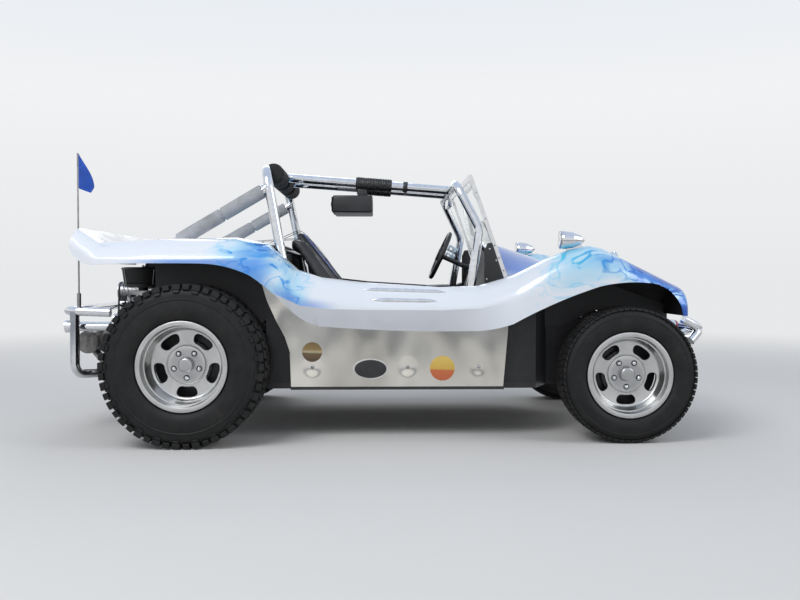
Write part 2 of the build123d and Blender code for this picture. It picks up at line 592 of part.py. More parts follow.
generator = drum((back(505), 0, 690), (1, 0, 0), 48, 129.7) + block(back(485), back(405), -30, 30, 540.3,
                                                                    660)
crank_pulley = drum((back(530), 0, 400), (1, 0, 0), 82, 44.7)
generator_pulley = drum((back(530), 0, 690), (1, 0, 0), 52, 24.7)
save("generator", generator)
save("drive_pulleys", Compound(children=[*crank_pulley.solids(), *generator_pulley.solids()]))

carb = block(back(350), back(290), -345, -285, 610, 700)
manifold = tube(((back(320), -315, 612), (back(320), -315, 560), (back(295), -350, 470.3)), 18, 24)
carburettor = carb + manifold - cylinder_bank
save("carburettors", twin(carburettor))
filter_profile = Polyline((0, 0), (88, 0), (88, 16), (94, 20), (104, 96), (0, 96), close=True)
air_filter = Pos(back(321), -315, 722) * revolve(Rot(90, 0, 0) * make_face(filter_profile), Axis.Z)
filter_neck = Pos(back(321), -315, 711) * Cylinder(24, 21.4)
save("air_filters", twin(air_filter + filter_neck))

muffler = drum((back(597), -330, 440), (0, 1, 0), 56, 660)
header_points = ((back(165), -358, 349.7), (back(165), -358, 305), (back(485), -330, 305),
                 (back(597), -250, 400))
header = tube(header_points, 19, 30)
tip_y = -390.0
tip_profile = Polyline((0, 16), (0, 24), (150, 24), (215, 32), (222, 32), (222, 28), (205, 24), (150, 16),
                       close=True)
tip = revolve(make_face(tip_profile), Axis.X)
tip = Pos(back(463), tip_y, 523) * Rot(0, 0, 180) * tip
tip_link = tube(((back(590), -290, 440), (back(525), -345, 500), (back(495), tip_y, 523)), 15, 20)
tip_link = tip_link - drum((back(685), tip_y, 523), (1, 0, 0), 24, 222)
tip_link = tip_link.solids().sort_by(SortBy.VOLUME)[-1]
exhaust_side = header + tip_link
save("exhaust_system", muffler + exhaust_side + mirror(exhaust_side, about=Plane.XZ))
save("tailpipes", twin(tip))

# Rear bumper
rear_x = rear_end + bumper_tube
rear_top = [(back(445), -452, 595), (rear_x, -452, 604)]
rear_top += [(x, -y, z) for x, y, z in reversed(rear_top)]
rear_bumper = tube(rear_top, bumper_tube, 70)
guard_points = ((back(335), -120, 267.2), (back(485), -150, 267.2), (back(620), -452, 292),
                (back(620), -452, 602))
guard = tube(guard_points, bumper_tube, 55)
rear_bumper = rear_bumper + guard + mirror(guard, about=Plane.XZ)
save("rear_bumper", rear_bumper)

# Tail lamps, plate, whip and flag
tail_lamp = drum((back(530), -520, 880), (1, 0, 0), 42, 60) + block(back(510), back(490), -530, -510, 900,
                                                                    990)
tail_lamp = tail_lamp & (Pos(0, 0, -seat_gap) * inner_form)
save("tail_lamps", twin(tail_lamp))
plate = block(back(525), back(522), -260, 260, 840, 951) + block(back(522), back(502), -200, -180, 840,
                                                                 1000)
plate = plate + block(back(522), back(502), 180, 200, 840, 1000)
plate = plate & (Pos(0, 0, -seat_gap) * inner_form)
save("number_plate", plate)
whip = rod((back(598), -452, 600), (back(598), -452, 1378), 4) + Pos(back(598), -452, 655) * Cylinder(10,
                                                                                                      70)
whip = whip - tube(rear_top, bumper_tube + seat_gap, 70)
whip = whip.solids().sort_by(SortBy.VOLUME)[-1]
save("whip_mast", whip)
flag_outline = ((back(593.7), 1376), (back(555), 1285), (back(517), 1214), (back(569), 1182),
                (back(593.7), 1204))
save("flag", side_plate(flag_outline, -453, -451))


# Wheels: axis along Y, outer side towards +Y before placing
def wheel_rim(half, flange_radius, disc_face, cap_face, slot_circle, slot_height):
    bead_radius = flange_radius - bead_step
    inner_radius = bead_radius - barrel_wall
    seat = half - flange_width
    barrel = Polyline((inner_radius, -half), (flange_radius, -half), (flange_radius, -seat),
                      (bead_radius - seat_gap, -seat), (bead_radius - seat_gap, seat),
                      (flange_radius, seat),
                      (flange_radius, half), (inner_radius, half), close=True)
    disc = Polyline((0, disc_face - 20), (inner_radius + 2, disc_face - 20),
                    (inner_radius + 2, disc_face + 24),
                    (slot_circle + slot_height / 2 + slot_land, disc_face), (90, disc_face),
                    (84, disc_face + 7),
                    (0, disc_face + 7), close=True)
    rim = revolve(make_face(barrel), Axis.Y) + revolve(make_face(disc), Axis.Y)
    for k in range(slot_count):
        angle = 360.0 / slot_count * k
        arc = CenterArc((0, 0), slot_circle, -90 - slot_sweep / 2, slot_sweep)
        slot = extrude(SlotArc(arc, slot_height), amount=200, both=True)
        rim = rim - Rot(0, angle, 0) * Rot(90, 0, 0) * slot
    cap = Pos(0, cap_face / 2 + disc_face / 2, 0) * Rot(90, 0, 0) * Cylinder(34, cap_face - disc_face)
    rim = rim + cap
    for k in range(slot_count):
        angle = radians(-90 + 360.0 / slot_count * k)
        spot = Pos(nut_circle * cos(angle), disc_face + 10, nut_circle * sin(angle)) * Rot(90, 0, 0)
        rim = rim + spot * Cylinder(nut_radius, 20)
    brake = Pos(0, disc_face - 20 - 30, 0) * Rot(90, 0, 0) * Cylinder(drum_radius, 60)
    rim = rim + brake
    bore = Pos(0, disc_face - 60, 0) * Rot(90, 0, 0) * Cylinder(bearing_radius + seat_gap, 110)
    return rim - bore


def wheel_tyre(half, flange_radius, outer_radius, width):
    bead_radius = flange_radius - bead_step
    seat = half - flange_width - seat_gap
    w = width / 2
    wall = flange_radius + 0.42 * (outer_radius - flange_radius)
    points = ((bead_radius, seat), (flange_radius + 2, seat), (flange_radius + 8, seat + 9), (wall, w),
              (outer_radius - 26, w - 7), (outer_radius - 7, w - 22), (outer_radius, 0.0))
    r, u = zip(*points)
    edges = [Line((r[0], u[0]), (r[1], u[1])), Line((r[1], u[1]), (r[2], u[2])),
             ThreePointArc((r[2], u[2]), ((r[2] + r[3]) / 2 - 4, (u[2] + u[3]) / 2 + 4), (r[3], u[3])),
             ThreePointArc((r[3], u[3]), ((r[3] + r[4]) / 2, w - 1), (r[4], u[4])),
             Line((r[4], u[4]), (r[5], u[5])),
             ThreePointArc((r[5], u[5]), (r[6], 0.0), (r[5], -u[5])),
             Line((r[5], -u[5]), (r[4], -u[4])),
             ThreePointArc((r[4], -u[4]), ((r[3] + r[4]) / 2, 1 - w), (r[3], -u[3])),
             ThreePointArc((r[3], -u[3]), ((r[2] + r[3]) / 2 - 4, -(u[2] + u[3]) / 2 - 4), (r[2], -u[2])),
             Line((r[2], -u[2]), (r[1], -u[1])), Line((r[1], -u[1]), (r[0], -u[0])),
             Line((r[0], -u[0]), (r[0], u[0]))]
    return revolve(make_face(edges), Axis.Y)


def shoulder_grooves(outer_radius, width):
    depth, reach = outer_radius - lug_groove_depth, width / 2 + 30 - lug_groove_start
    cutter = Rot(0, 0, 90 - lug_slant) * Pos(reach / 2, 0, 0) * Box(reach, lug_groove_width, 40)
    cutter = Pos(0, lug_groove_start, depth + 20) * cutter
    return [Rot(0, 360.0 / lug_count * k, 0) * cutter for k in range(lug_count)]


rear_rim = wheel_rim(rear_rim_half, rear_flange_radius, rear_disc_face, rear_cap_face, *rear_slot)
rear_tyre = wheel_tyre(rear_rim_half, rear_flange_radius, rear_tyre_radius, rear_tyre_width)
grooves = shoulder_grooves(rear_tyre_radius, rear_tyre_width)
rear_tyre = rear_tyre - [*grooves, *[mirror(groove, about=Plane.XZ) for groove in grooves]]
front_rim = wheel_rim(front_rim_half, front_flange_radius, front_disc_face, front_cap_face, *front_slot)
front_tyre = wheel_tyre(front_rim_half, front_flange_radius, front_tyre_radius, front_tyre_width)
wheel_rows = (
    ("rear", rear_rim, rear_tyre, rear_axle_x, rear_wheel_y, rear_tyre_radius),
    ("front", front_rim, front_tyre, front_axle_x, front_wheel_y, front_tyre_radius),
)
for name, rim_shape, tyre_shape, x, y, z in wheel_rows:
    save(f"{name}_rim_left", Pos(x, y, z) * rim_shape)
    save(f"{name}_tyre_left", Pos(x, y, z) * tyre_shape)
    save(f"{name}_rim_right", Pos(x, -y, z) * mirror(rim_shape, about=Plane.XZ))
    save(f"{name}_tyre_right", Pos(x, -y, z) * mirror(tyre_shape, about=Plane.XZ))


# Steering knuckles, rods, pitman arm, box, column and wheel
def knuckle(side, arm_top_z):
    y = side * kingpin_y
    post = Pos(front_axle_x, y, (231.3 + 445.7) / 2) * Cylinder(17, 445.7 - 231.3)
    stub = drum((front_axle_x, y, front_tyre_radius), (0, side, 0), bearing_radius,
                front_wheel_y - kingpin_y + 2)
    plate_disc = drum((front_axle_x, side * 612, front_tyre_radius), (0, side, 0), 100, 8)
    arm = block(front_axle_x, front_axle_x + steer_arm, y - 12, y + 12, arm_top_z - 13, arm_top_z)
    pad = Pos(front_axle_x + steer_arm, y, arm_top_z - 6.5) * Cylinder(14, 13)
    return post + stub + plate_disc + arm + pad


save("knuckle_right", knuckle(-1, right_rod_z - 10.3))
save("knuckle_left", knuckle(1, left_rod_z - 10.3))


def tie_rod(outer_y, z):
    x = front_axle_x + steer_arm
    sign = 1 if outer_y > pitman_y else -1
    inner_y = pitman_y + sign * 22
    bar = rod((x, outer_y, z), (x, inner_y, z), rod_radius)
    outer_end = Pos(x, outer_y, z) * Cylinder(14, 20)
    ring = Pos(x, pitman_y, z) * (Cylinder(24, 12) - Cylinder(15, 20))
    return bar + outer_end + ring


save("tie_rod_right", tie_rod(-kingpin_y, right_rod_z))
save("tie_rod_left", tie_rod(kingpin_y, left_rod_z))
pitman_top = left_rod_z + 28
pitman = Pos(front_axle_x, pitman_y, pitman_top - 6) * Cylinder(22, 12)
pitman = pitman + block(front_axle_x, front_axle_x + steer_arm, pitman_y - 10, pitman_y + 10,
                        pitman_top - 12,
                        pitman_top)
pitman = pitman + Pos(front_axle_x + steer_arm, pitman_y, (pitman_top + 340) / 2) * Cylinder(8,
                                                                                             pitman_top - 340)
save("pitman_arm", pitman)
box_low = pitman_top + seat_gap
steering_box = block(front_axle_x - 35, front_axle_x + 35, pitman_y - 38, pitman_y + 38, box_low, 575)
steering_box = steering_box + block(front_axle_x + 30, beam_x, pitman_y - 15, pitman_y + 15, 415, 445)
steering_box = steering_box - beam_clear
save("steering_box", steering_box)
column_end = (front_axle_x - 35 - wheel_centre[0]) / cos(radians(column_tilt)) + 20
column = rod(tuple(along_column(20.3)), tuple(along_column(column_end)), 14) - steering_box
column = column.solids().sort_by(SortBy.VOLUME)[-1]
save("steering_column", column)
wheel_plane = Plane(origin=wheel_centre, x_dir=(0, 1, 0), z_dir=tuple(column_axis))
ring = Torus(steering_wheel_radius, steering_grip)
hub = Cylinder(36, 40)
spokes = [Rot(0, 0, a) * Pos(steering_wheel_radius / 2, 0, 0) * Box(steering_wheel_radius, 26, 6)
          for a in (-30, 90, 210)]
steering = ring + hub
for spoke in spokes:
    steering = steering + spoke
save("steering_wheel", wheel_plane.location * steering)
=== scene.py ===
import bpy
import json
import math
from mathutils import Matrix, Vector

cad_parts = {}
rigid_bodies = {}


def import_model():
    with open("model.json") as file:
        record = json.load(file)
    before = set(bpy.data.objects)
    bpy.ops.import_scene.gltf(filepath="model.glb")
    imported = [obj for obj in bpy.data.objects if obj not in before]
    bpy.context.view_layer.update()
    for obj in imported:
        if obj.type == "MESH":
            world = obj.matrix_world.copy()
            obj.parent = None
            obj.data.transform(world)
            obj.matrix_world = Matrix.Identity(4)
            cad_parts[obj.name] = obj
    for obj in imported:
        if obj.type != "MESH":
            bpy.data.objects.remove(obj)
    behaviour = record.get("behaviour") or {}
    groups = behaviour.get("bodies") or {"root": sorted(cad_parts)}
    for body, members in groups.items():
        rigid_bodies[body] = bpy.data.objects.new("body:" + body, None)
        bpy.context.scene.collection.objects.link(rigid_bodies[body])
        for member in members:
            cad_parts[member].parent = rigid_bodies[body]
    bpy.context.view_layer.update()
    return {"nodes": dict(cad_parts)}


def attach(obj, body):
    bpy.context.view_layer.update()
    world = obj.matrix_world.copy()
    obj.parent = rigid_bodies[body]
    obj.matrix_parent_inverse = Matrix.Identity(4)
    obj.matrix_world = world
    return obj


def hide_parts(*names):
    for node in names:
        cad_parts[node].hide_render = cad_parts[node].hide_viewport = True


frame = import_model()
cadNodes = frame["nodes"]
bpy.ops.object.select_all(action="DESELECT")
bothSides = ((-1, "Right"), (1, "Left"))
ahead, behind, up = (1, 0, 0), (-1, 0, 0), (0, 0, 1)
wheelSpots = {"rear": (-0.915, 0.370), "front": (1.125, 0.316)}  # place along the car and radius, in metres
print("frame loaded", len(cadNodes), "nodes")


# material helpers: every finish is built from object coordinates
def give(socket, value):
    # a socket takes a number, a colour or what another node puts out
    if isinstance(value, bpy.types.NodeSocket):
        socket.id_data.links.new(value, socket)
    else:
        socket.default_value = (*value, 1) if socket.type == "RGBA" else value


def addNode(tree, kind, values, **settings):
    made = tree.nodes.new("ShaderNode" + kind)
    for key, value in settings.items():
        setattr(made, key, value)
    for key, value in values.items():
        give(made.inputs[key], value)
    return made


def newFinish(name, color, metallic, roughness, **more):
    material = bpy.data.materials.new(name)
    material.use_nodes = True
    shader = material.node_tree.nodes["Principled BSDF"]
    values = {"Base Color": color, "Metallic": metallic, "Roughness": roughness, **more}
    for key, value in values.items():
        give(shader.inputs[key], value)
    return material, shader


def place(shader, scale=(1, 1, 1), shift=(0, 0, 0)):
    coords = addNode(shader.id_data, "TexCoord", {}).outputs["Object"]
    return addNode(shader.id_data, "Mapping", {"Vector": coords, "Location": shift, "Scale": scale}).outputs[0]


def noise(vector, scale, detail=4.0, roughness=0.5, distortion=0.0):
    values = {"Vector": vector, "Scale": scale, "Detail": detail, "Roughness": roughness, "Distortion": distortion}
    return addNode(vector.id_data, "TexNoise", values).outputs["Fac"]


def ramp(value, stops):
    made = addNode(value.id_data, "ValToRGB", {"Fac": value})
    while len(made.color_ramp.elements) < len(stops):
        made.color_ramp.elements.new(0.5)
    for element, (position, color) in zip(made.color_ramp.elements, stops):
        element.position = position
        element.color = (*color, 1)
    return made.outputs["Color"]


def mixColor(amount, first, second):
    return addNode(amount.id_data, "Mix", {0: amount, 6: first, 7: second}, data_type="RGBA").outputs[2]


def calc(operation, *values):
    tree = next(value.id_data for value in values if isinstance(value, bpy.types.NodeSocket))
    return addNode(tree, "Math", dict(enumerate(values)), operation=operation).outputs[0]


def times(first, *others):
    for other in others:
        first = calc("MULTIPLY", first, other)
    return first


def scaled(value, gain, base):
    return calc("MULTIPLY_ADD", value, gain, base)


def less(value, amount):
    return calc("SUBTRACT", value, amount)


def outside(value):
    return calc("SUBTRACT", 1.0, value)


def distance(first, second):
    return calc("SQRT", calc("ADD", times(first, first), times(second, second)))


def between(value, low, high):
    values = {"Value": value, "From Min": low, "From Max": high}
    return addNode(value.id_data, "MapRange", values, interpolation_type="SMOOTHSTEP").outputs["Result"]


def axes(vector):
    return addNode(vector.id_data, "SeparateXYZ", {0: vector}).outputs


def bump(shader, height, strength, depth):
    values = {"Strength": strength, "Distance": depth, "Height": height}
    give(shader.inputs["Normal"], addNode(shader.id_data, "Bump", values).outputs["Normal"])


def stained(shader, value, stops, gain, base):
    # one noise sets the colour and how rough the surface is
    give(shader.inputs["Base Color"], ramp(value, stops))
    give(shader.inputs["Roughness"], scaled(value, gain, base))


def tint(color, gain, base=0.0):
    return tuple(min(1, c * gain + base) for c in color)


paintLook = {
    "white": (0.82, 0.86, 0.92), "pale": (0.46, 0.74, 0.92), "frontTone": (0.06, 0.58, 0.83),
    "rearTone": (0.07, 0.34, 0.80), "noseTone": (0.05, 0.24, 0.74), "deep": (0.012, 0.10, 0.48),
    # line is the colour of the painted shade just above the crease
    "hood": (0.07, 0.20, 0.66), "lip": (0.03, 0.25, 0.80), "line": (0.16, 0.34, 0.80), "skirt": (0.56, 0.58, 0.62),
    # place along the car and height of the crease above the skirt, in metres
    "crease": ((-0.56, 0.745), (-0.51, 0.692), (-0.40, 0.638), (-0.265, 0.623), (-0.10, 0.618), (0.257, 0.616),
               (0.44, 0.624), (0.60, 0.662), (0.76, 0.740)),
    "creaseLow": 0.5, "creaseSpan": 0.4,
}


def creaseHeight(x):
    # the crease as a grey ramp along the car, black at its low height and white a span above
    rows, low, span = paintLook["crease"], paintLook["creaseLow"], paintLook["creaseSpan"]
    first, last = rows[0][0], rows[-1][0]
    along = calc("DIVIDE", less(x, first), last - first)
    stops = [((spot - first) / (last - first), ((height - low) / span,) * 3) for spot, height in rows]
    return scaled(ramp(along, stops), span, low)


def bodyPaint():
    look = paintLook
    material, shader = newFinish("airbrushedPaint", look["white"], 0.0, 0.2,
                                 **{"Coat Weight": 0.6, "Coat Roughness": 0.10})
    here = place(shader)
    x, y, z = axes(here)
    side = calc("ABSOLUTE", y)
    # marble swirls: one noise pushes the next about, drawn out along the flanks
    push = noise(here, 2.2, 2).node.outputs["Color"]
    spread = addNode(shader.id_data, "VectorMath", {0: push, 1: (0.55, 0.3, 0.6), 2: place(shader, (0.8, 1.0, 1.7))},
                     operation="MULTIPLY_ADD").outputs[0]
    swirl = times(less(noise(spread, 3.2, 3.5, 0.5, 0.9), 0.5), 2.9)
    thread = calc("ABSOLUTE", less(noise(spread, 6.0, 3, 0.5, 0.8), 0.5))
    threads = outside(between(thread, 0.0, 0.035))
    # how blue each stretch of the body is
    front = times(between(x, 0.42, 0.86), scaled(between(z, 0.74, 0.90), 0.35, 0.65))
    nose = between(x, 0.95, 1.30)
    tail = outside(between(x, -0.60, -0.30))
    quarter = times(between(x, -0.95, -0.62), outside(between(x, -0.48, -0.26)))
    blueness = times(front, 0.36)
    for stretch, share in ((nose, 0.66), (tail, 0.07), (quarter, 0.40)):
        blueness = calc("MAXIMUM", blueness, times(stretch, share))
    level = scaled(swirl, scaled(blueness, 1.15, 0.06), blueness)
    level = calc("ADD", level, times(threads, blueness, 0.62))
    tone = mixColor(between(x, 0.0, 0.6), look["rearTone"], look["frontTone"])
    tone = mixColor(between(x, 0.78, 1.12), tone, look["noseTone"])
    lip = times(outside(between(z, 0.838, 0.872)), between(x, -1.25, -0.95), outside(between(x, -0.60, -0.50)))
    hood = times(between(x, 0.42, 0.46), outside(between(side, 0.40, 0.52)))
    # painted shade: a blue band just above the crease at the rear of the sill; silver skirt under the crease
    crease = less(z, creaseHeight(x))
    flank = times(between(side, 0.69, 0.70), between(x, -0.53, -0.50), outside(between(x, 0.28, 0.62)))
    # painted shade: the band above the crease turns blue only towards the rear, where the sill is in shade
    line = times(outside(between(crease, 0.002, 0.05)), flank, outside(between(x, -0.36, -0.20)))
    skirt = times(outside(between(crease, -0.003, 0.001)), flank)
    color = look["white"]
    for amount, over in ((between(level, 0.14, 0.40), look["pale"]), (between(level, 0.34, 0.62), tone),
                         (between(level, 0.62, 0.95), look["deep"]), (times(lip, 0.75), look["lip"]),
                         (times(hood, 0.85), look["hood"]), (times(line, 0.7), look["line"]), (skirt, look["skirt"])):
        color = mixColor(amount, color, over)
    give(shader.inputs["Base Color"], color)
    give(shader.inputs["Roughness"], scaled(noise(here, 90, 3), 0.06, 0.17))
    bump(shader, noise(here, 7.0, 2), 0.04, 0.004)
    return material


def mottled(name, color, metallic, roughness, stain, stops, gain, base, grain, depth):
    material, shader = newFinish(name, color, metallic, roughness)
    here = place(shader)
    stained(shader, noise(here, *stain), stops, gain, base)
    bump(shader, noise(here, *grain), *depth)
    return material


def chromeFinish(name="chromeTube", color=(0.78, 0.79, 0.81), roughness=0.05):
    stops = (0.35, tint(color, 0.88)), (0.6, color)
    return mottled(name, color, 1.0, roughness, (35, 5, 0.6), stops, 0.09, roughness - 0.02, (60, 2), (0.03, 0.001))


def grainyPlastic(name, color, roughness=0.5, grain=700, depth=0.25):
    stops = (0.3, tint(color, 0.75)), (0.7, tint(color, 1.3, 0.004))
    return mottled(name, color, 0.0, roughness, (9, 5, 0.6), stops, 0.2, roughness - 0.1, (grain, 3), (depth, 0.0006))


def castAlloy(name, color=(0.50, 0.50, 0.50), roughness=0.34, dirt=0.5):
    stops = (0.32, tint(color, 1 - dirt)), (0.62, color)
    return mottled(name, color, 1.0, roughness, (14, 5, 0.65), stops, 0.25, roughness - 0.12, (420, 3), (0.18, 0.0007))


panelScrews = {"x": (-350, 101, 438), "z": 343, "dimple": (0.004, 0.055)}


def polishedSheet():
    material, shader = newFinish("polishedSheet", (0.74, 0.75, 0.76), 1.0, 0.14)
    # painted reflections and painted shade: warm brown and dark patches blotch the colour of the polished sheet
    reflectionPatches = noise(place(shader, (1.6, 1.0, 1.0)), 2.4, 2, 0.5, 0.4)
    tones = ((0.32, (0.42, 0.40, 0.36)), (0.48, (0.62, 0.59, 0.53)), (0.66, (0.78, 0.75, 0.68)))
    stained(shader, reflectionPatches, tones, 0.10, 0.02)
    brush = noise(place(shader, (3, 3, 260)), 1.5)
    height = scaled(brush, 0.004, noise(place(shader, (1.0, 1.0, 0.45)), 6.5, 1))
    # the sheet is drawn in round each screw
    here = axes(place(shader))
    for spot in panelScrews["x"]:
        away = distance(less(here[0], spot / 1000), less(here[2], panelScrews["z"] / 1000))
        height = scaled(between(away, *panelScrews["dimple"]), 0.22, height)
    bump(shader, height, 0.6, 0.02)
    return material


def wheelRadius(shader, end):
    x, z = wheelSpots[end]
    across = axes(place(shader, shift=(-x, 0, -z)))
    return distance(across[0], across[2])


def tyreRubber(end):
    material, shader = newFinish(end + "Rubber", (0.012, 0.012, 0.012), 0.0, 0.62, **{"Specular IOR Level": 0.3})
    here = place(shader)
    tones = ((0.34, (0.006, 0.006, 0.006)), (0.58, (0.012, 0.012, 0.012)), (0.78, (0.026, 0.024, 0.022)))
    stained(shader, noise(here, 16, 6, 0.65), tones, 0.3, 0.42)
    rings = calc("SINE", times(wheelRadius(shader, end), 1500.0))
    bump(shader, scaled(rings, 0.10, times(noise(here, 320, 2), 0.5)), 0.35, 0.0012)
    return material


def wheelAlloy(end):
    material, shader = newFinish(end + "Alloy", (0.66, 0.66, 0.66), 1.0, 0.28)
    radius = wheelRadius(shader, end)
    stain = noise(place(shader), 12)
    tone = ramp(stain, ((0.3, (0.52, 0.52, 0.51)), (0.62, (0.62, 0.62, 0.61))))
    # darker round the hub
    darkerNearHub = times(between(radius, 0.088, 0.060), 0.45)
    give(shader.inputs["Base Color"], mixColor(darkerNearHub, tone, (0.30, 0.30, 0.31)))
    give(shader.inputs["Roughness"], scaled(stain, 0.08, 0.27))
    bump(shader, scaled(calc("SINE", times(radius, 2600.0)), 0.3, stain), 0.08, 0.0005)
    return material


def clearGlass(name, ior=1.45):
    material, shader = newFinish(name, (0.98, 1.0, 0.99), 0.0, 0.02, **{"Transmission Weight": 1.0, "IOR": ior})
    give(shader.inputs["Roughness"], times(noise(place(shader), 12, 5), 0.05))
    return material


def stitchedVinyl(name, color):
    material, shader = newFinish(name, color, 0.0, 0.42)
    here = place(shader)
    stained(shader, noise(here, 7, 5, 0.6), ((0.3, tint(color, 0.6)), (0.7, tint(color, 1.6, 0.003))), 0.25, 0.3)
    cells = addNode(shader.id_data, "TexVoronoi", {"Scale": 420, "Vector": here})
    bump(shader, cells.outputs["Distance"], 0.25, 0.0008)
    return material


def wovenCloth(name, color):
    material, shader = newFinish(name, color, 0.0, 0.85, **{"Sheen Weight": 0.3})
    here = place(shader)
    tones = ((0.3, tint(color, 0.8)), (0.7, tint(color, 1.2)))
    give(shader.inputs["Base Color"], ramp(noise(here, 20), tones))
    warp, weft = (calc("SINE", times(axes(here)[i], 5200.0)) for i in (0, 2))
    bump(shader, calc("ADD", warp, weft), 0.2, 0.0004)
    return material


def bandedBadge(name, middle, half, stops):
    # colours run up the badge in soft bands that a slow noise disturbs
    material, shader = newFinish(name, stops[0][1], 0.0, 0.25, **{"Coat Weight": 0.4})
    here = place(shader)
    share = scaled(less(axes(here)[2], middle), 0.5 / half, 0.42)
    give(shader.inputs["Base Color"], ramp(scaled(noise(here, 18), 0.16, share), stops))
    bump(shader, noise(here, 60, 2), 0.05, 0.0005)
    return material


finishes = {
    "body": bodyPaint(), "chrome": chromeFinish(), "sheet": polishedSheet(),
    "mirror": chromeFinish("mirrorGlass", (0.86, 0.87, 0.88), 0.03),
    "cast": castAlloy("castAlloy"), "steel": castAlloy("bareSteel", (0.42, 0.42, 0.43), 0.3, 0.4),
    "darkSteel": castAlloy("exhaustSteel", (0.30, 0.29, 0.28), 0.42),
    "plateBlue": castAlloy("switchPlate", (0.60, 0.74, 0.86), 0.3, 0.2),
    "glass": clearGlass("screenGlass", 1.12), "lensGlass": clearGlass("lampGlass"),
    "vinyl": stitchedVinyl("blackVinyl", (0.013, 0.013, 0.014)),
    "insertVinyl": stitchedVinyl("insertVinyl", (0.020, 0.020, 0.022)),
    "flag": wovenCloth("flagCloth", (0.012, 0.075, 0.42)),
    "webbing": wovenCloth("beltWebbing", (0.012, 0.012, 0.013)),
    "blackGel": grainyPlastic("blackLiner", (0.016, 0.016, 0.018)),
    "blackSteel": grainyPlastic("blackSteel", (0.022, 0.022, 0.024), 0.38, 500, 0.15),
    "foam": grainyPlastic("greyFoam", (0.37, 0.38, 0.40), 0.8, 900, 0.6),
    "blackFoam": grainyPlastic("blackFoam", (0.013, 0.013, 0.013), 0.85, 800, 0.7),
    "wrapCloth": grainyPlastic("wrapCloth", (0.012, 0.012, 0.013), 0.42, 240, 0.5),
    "redLens": grainyPlastic("redLens", (0.42, 0.012, 0.008), 0.15, 80, 0.3),
    # painted highlight: this blue stands for light caught along the far seat's piping
    "piping": grainyPlastic("pipingGlintBlue", (0.24, 0.29, 0.66), 0.35, 500, 0.1),
    "paleEdge": grainyPlastic("paleEdge", (0.62, 0.62, 0.60), 0.35, 300, 0.05),
    "plate": grainyPlastic("plateWhite", (0.78, 0.78, 0.74), 0.3, 300, 0.05),
    "filter": grainyPlastic("filterMesh", (0.014, 0.014, 0.014), 0.7, 260, 0.9),
    "brownBadge": bandedBadge("brownBadge", 0.415, 0.047, (
        (0.1, (0.10, 0.055, 0.02)), (0.42, (0.16, 0.10, 0.04)), (0.5, (0.55, 0.47, 0.30)),
        (0.62, (0.30, 0.20, 0.06)), (0.9, (0.22, 0.13, 0.03)))),
    "amberBadge": bandedBadge("amberBadge", 0.337, 0.059, (
        (0.05, (0.58, 0.13, 0.04)), (0.42, (0.60, 0.15, 0.04)), (0.47, (0.66, 0.42, 0.07)), (0.9, (0.72, 0.50, 0.11)))),
    "rearRubber": tyreRubber("rear"), "frontRubber": tyreRubber("front"),
    "rearAlloy": wheelAlloy("rear"), "frontAlloy": wheelAlloy("front"),
}
finishNodes = {
    "body": "body_shell", "sheet": "side_panels", "blackGel": "cockpit_tub dashboard overhead_console",
    "foam": "stay_padding", "glass": "windscreen_glass", "lensGlass": "headlamp_lenses", "filter": "air_filters",
    "darkSteel": "exhaust_system", "plate": "number_plate", "flag": "flag",
    "chrome": "roll_hoop harness_bar front_cage roof_bars rear_stays windscreen_frame interior_mirror fender_mirrors "
              "headlamps front_indicators front_bumper rocker_covers fan_shroud tailpipes rear_bumper tail_lamps",
    "blackSteel": "floor_pan driver_controls front_beam front_arms rear_axle steering_column "
                  "knuckle_right knuckle_left",
    "steel": "gauges generator drive_pulleys whip_mast tie_rod_right tie_rod_left pitman_arm",
    "cast": "engine_block engine_cylinders carburettors steering_box",
    "vinyl": "seat_right seat_left steering_wheel",
}
for end in wheelSpots:
    finishNodes[end + "Alloy"] = f"{end}_rim_right {end}_rim_left"
    finishNodes[end + "Rubber"] = f"{end}_tyre_right {end}_tyre_left"
for finish, names in finishNodes.items():
    for name in names.split():
        cadNodes[name].data.materials.clear()
        cadNodes[name].data.materials.append(finishes[finish])
print("finishes given to", sum(len(names.split()) for names in finishNodes.values()), "nodes")


# modelling helpers: every object sits at the origin, so edit mode works in the car's own frame
def mm(x, y, z):
    return Vector((x, y, z)) / 1000


def startPiece(name):
    piece = bpy.context.object
    piece.name = piece.data.name = name
    bpy.ops.object.transform_apply(location=True, rotation=True, scale=True)
    return piece


def addShape(name, kind, **settings):
    bpy.ops.object.select_all(action="DESELECT")
    getattr(bpy.ops.mesh, f"primitive_{kind}_add")(**settings)
    return startPiece(name)


def onlySelect(*objects):
    bpy.ops.object.select_all(action="DESELECT")
    for item in objects:
        item.select_set(True)
    bpy.context.view_layer.objects.active = objects[0]


def openAll():
    bpy.ops.object.mode_set(mode="EDIT")
    bpy.ops.mesh.select_all(action="SELECT")


def closeEdit():
    bpy.ops.object.mode_set(mode="OBJECT")


def closeShell(merge=True):
    # doubles are merged and all faces turned outwards
    bpy.ops.mesh.select_all(action="SELECT")
    if merge:
        bpy.ops.mesh.remove_doubles(threshold=0.00002)
    bpy.ops.mesh.normals_make_consistent(inside=False)
    closeEdit()


def bevelAll(offset, segments=1):
    openAll()
    bpy.ops.mesh.bevel(offset=offset, segments=segments, affect="EDGES")
    closeEdit()


def pick(piece, kind, test):
    # selects the faces or edges whose middle and direction pass the test
    bpy.ops.object.mode_set(mode="EDIT")
    bpy.ops.mesh.select_mode(type=kind)
    bpy.ops.mesh.select_all(action="DESELECT")
    closeEdit()
    mesh = piece.data
    if kind == "FACE":
        for face in mesh.polygons:
            face.select = test(face.center, face.normal)
    else:
        for edge in mesh.edges:
            first, second = (mesh.vertices[i].co for i in edge.vertices)
            edge.select = test((first + second) / 2, (second - first).normalized())
    bpy.ops.object.mode_set(mode="EDIT")


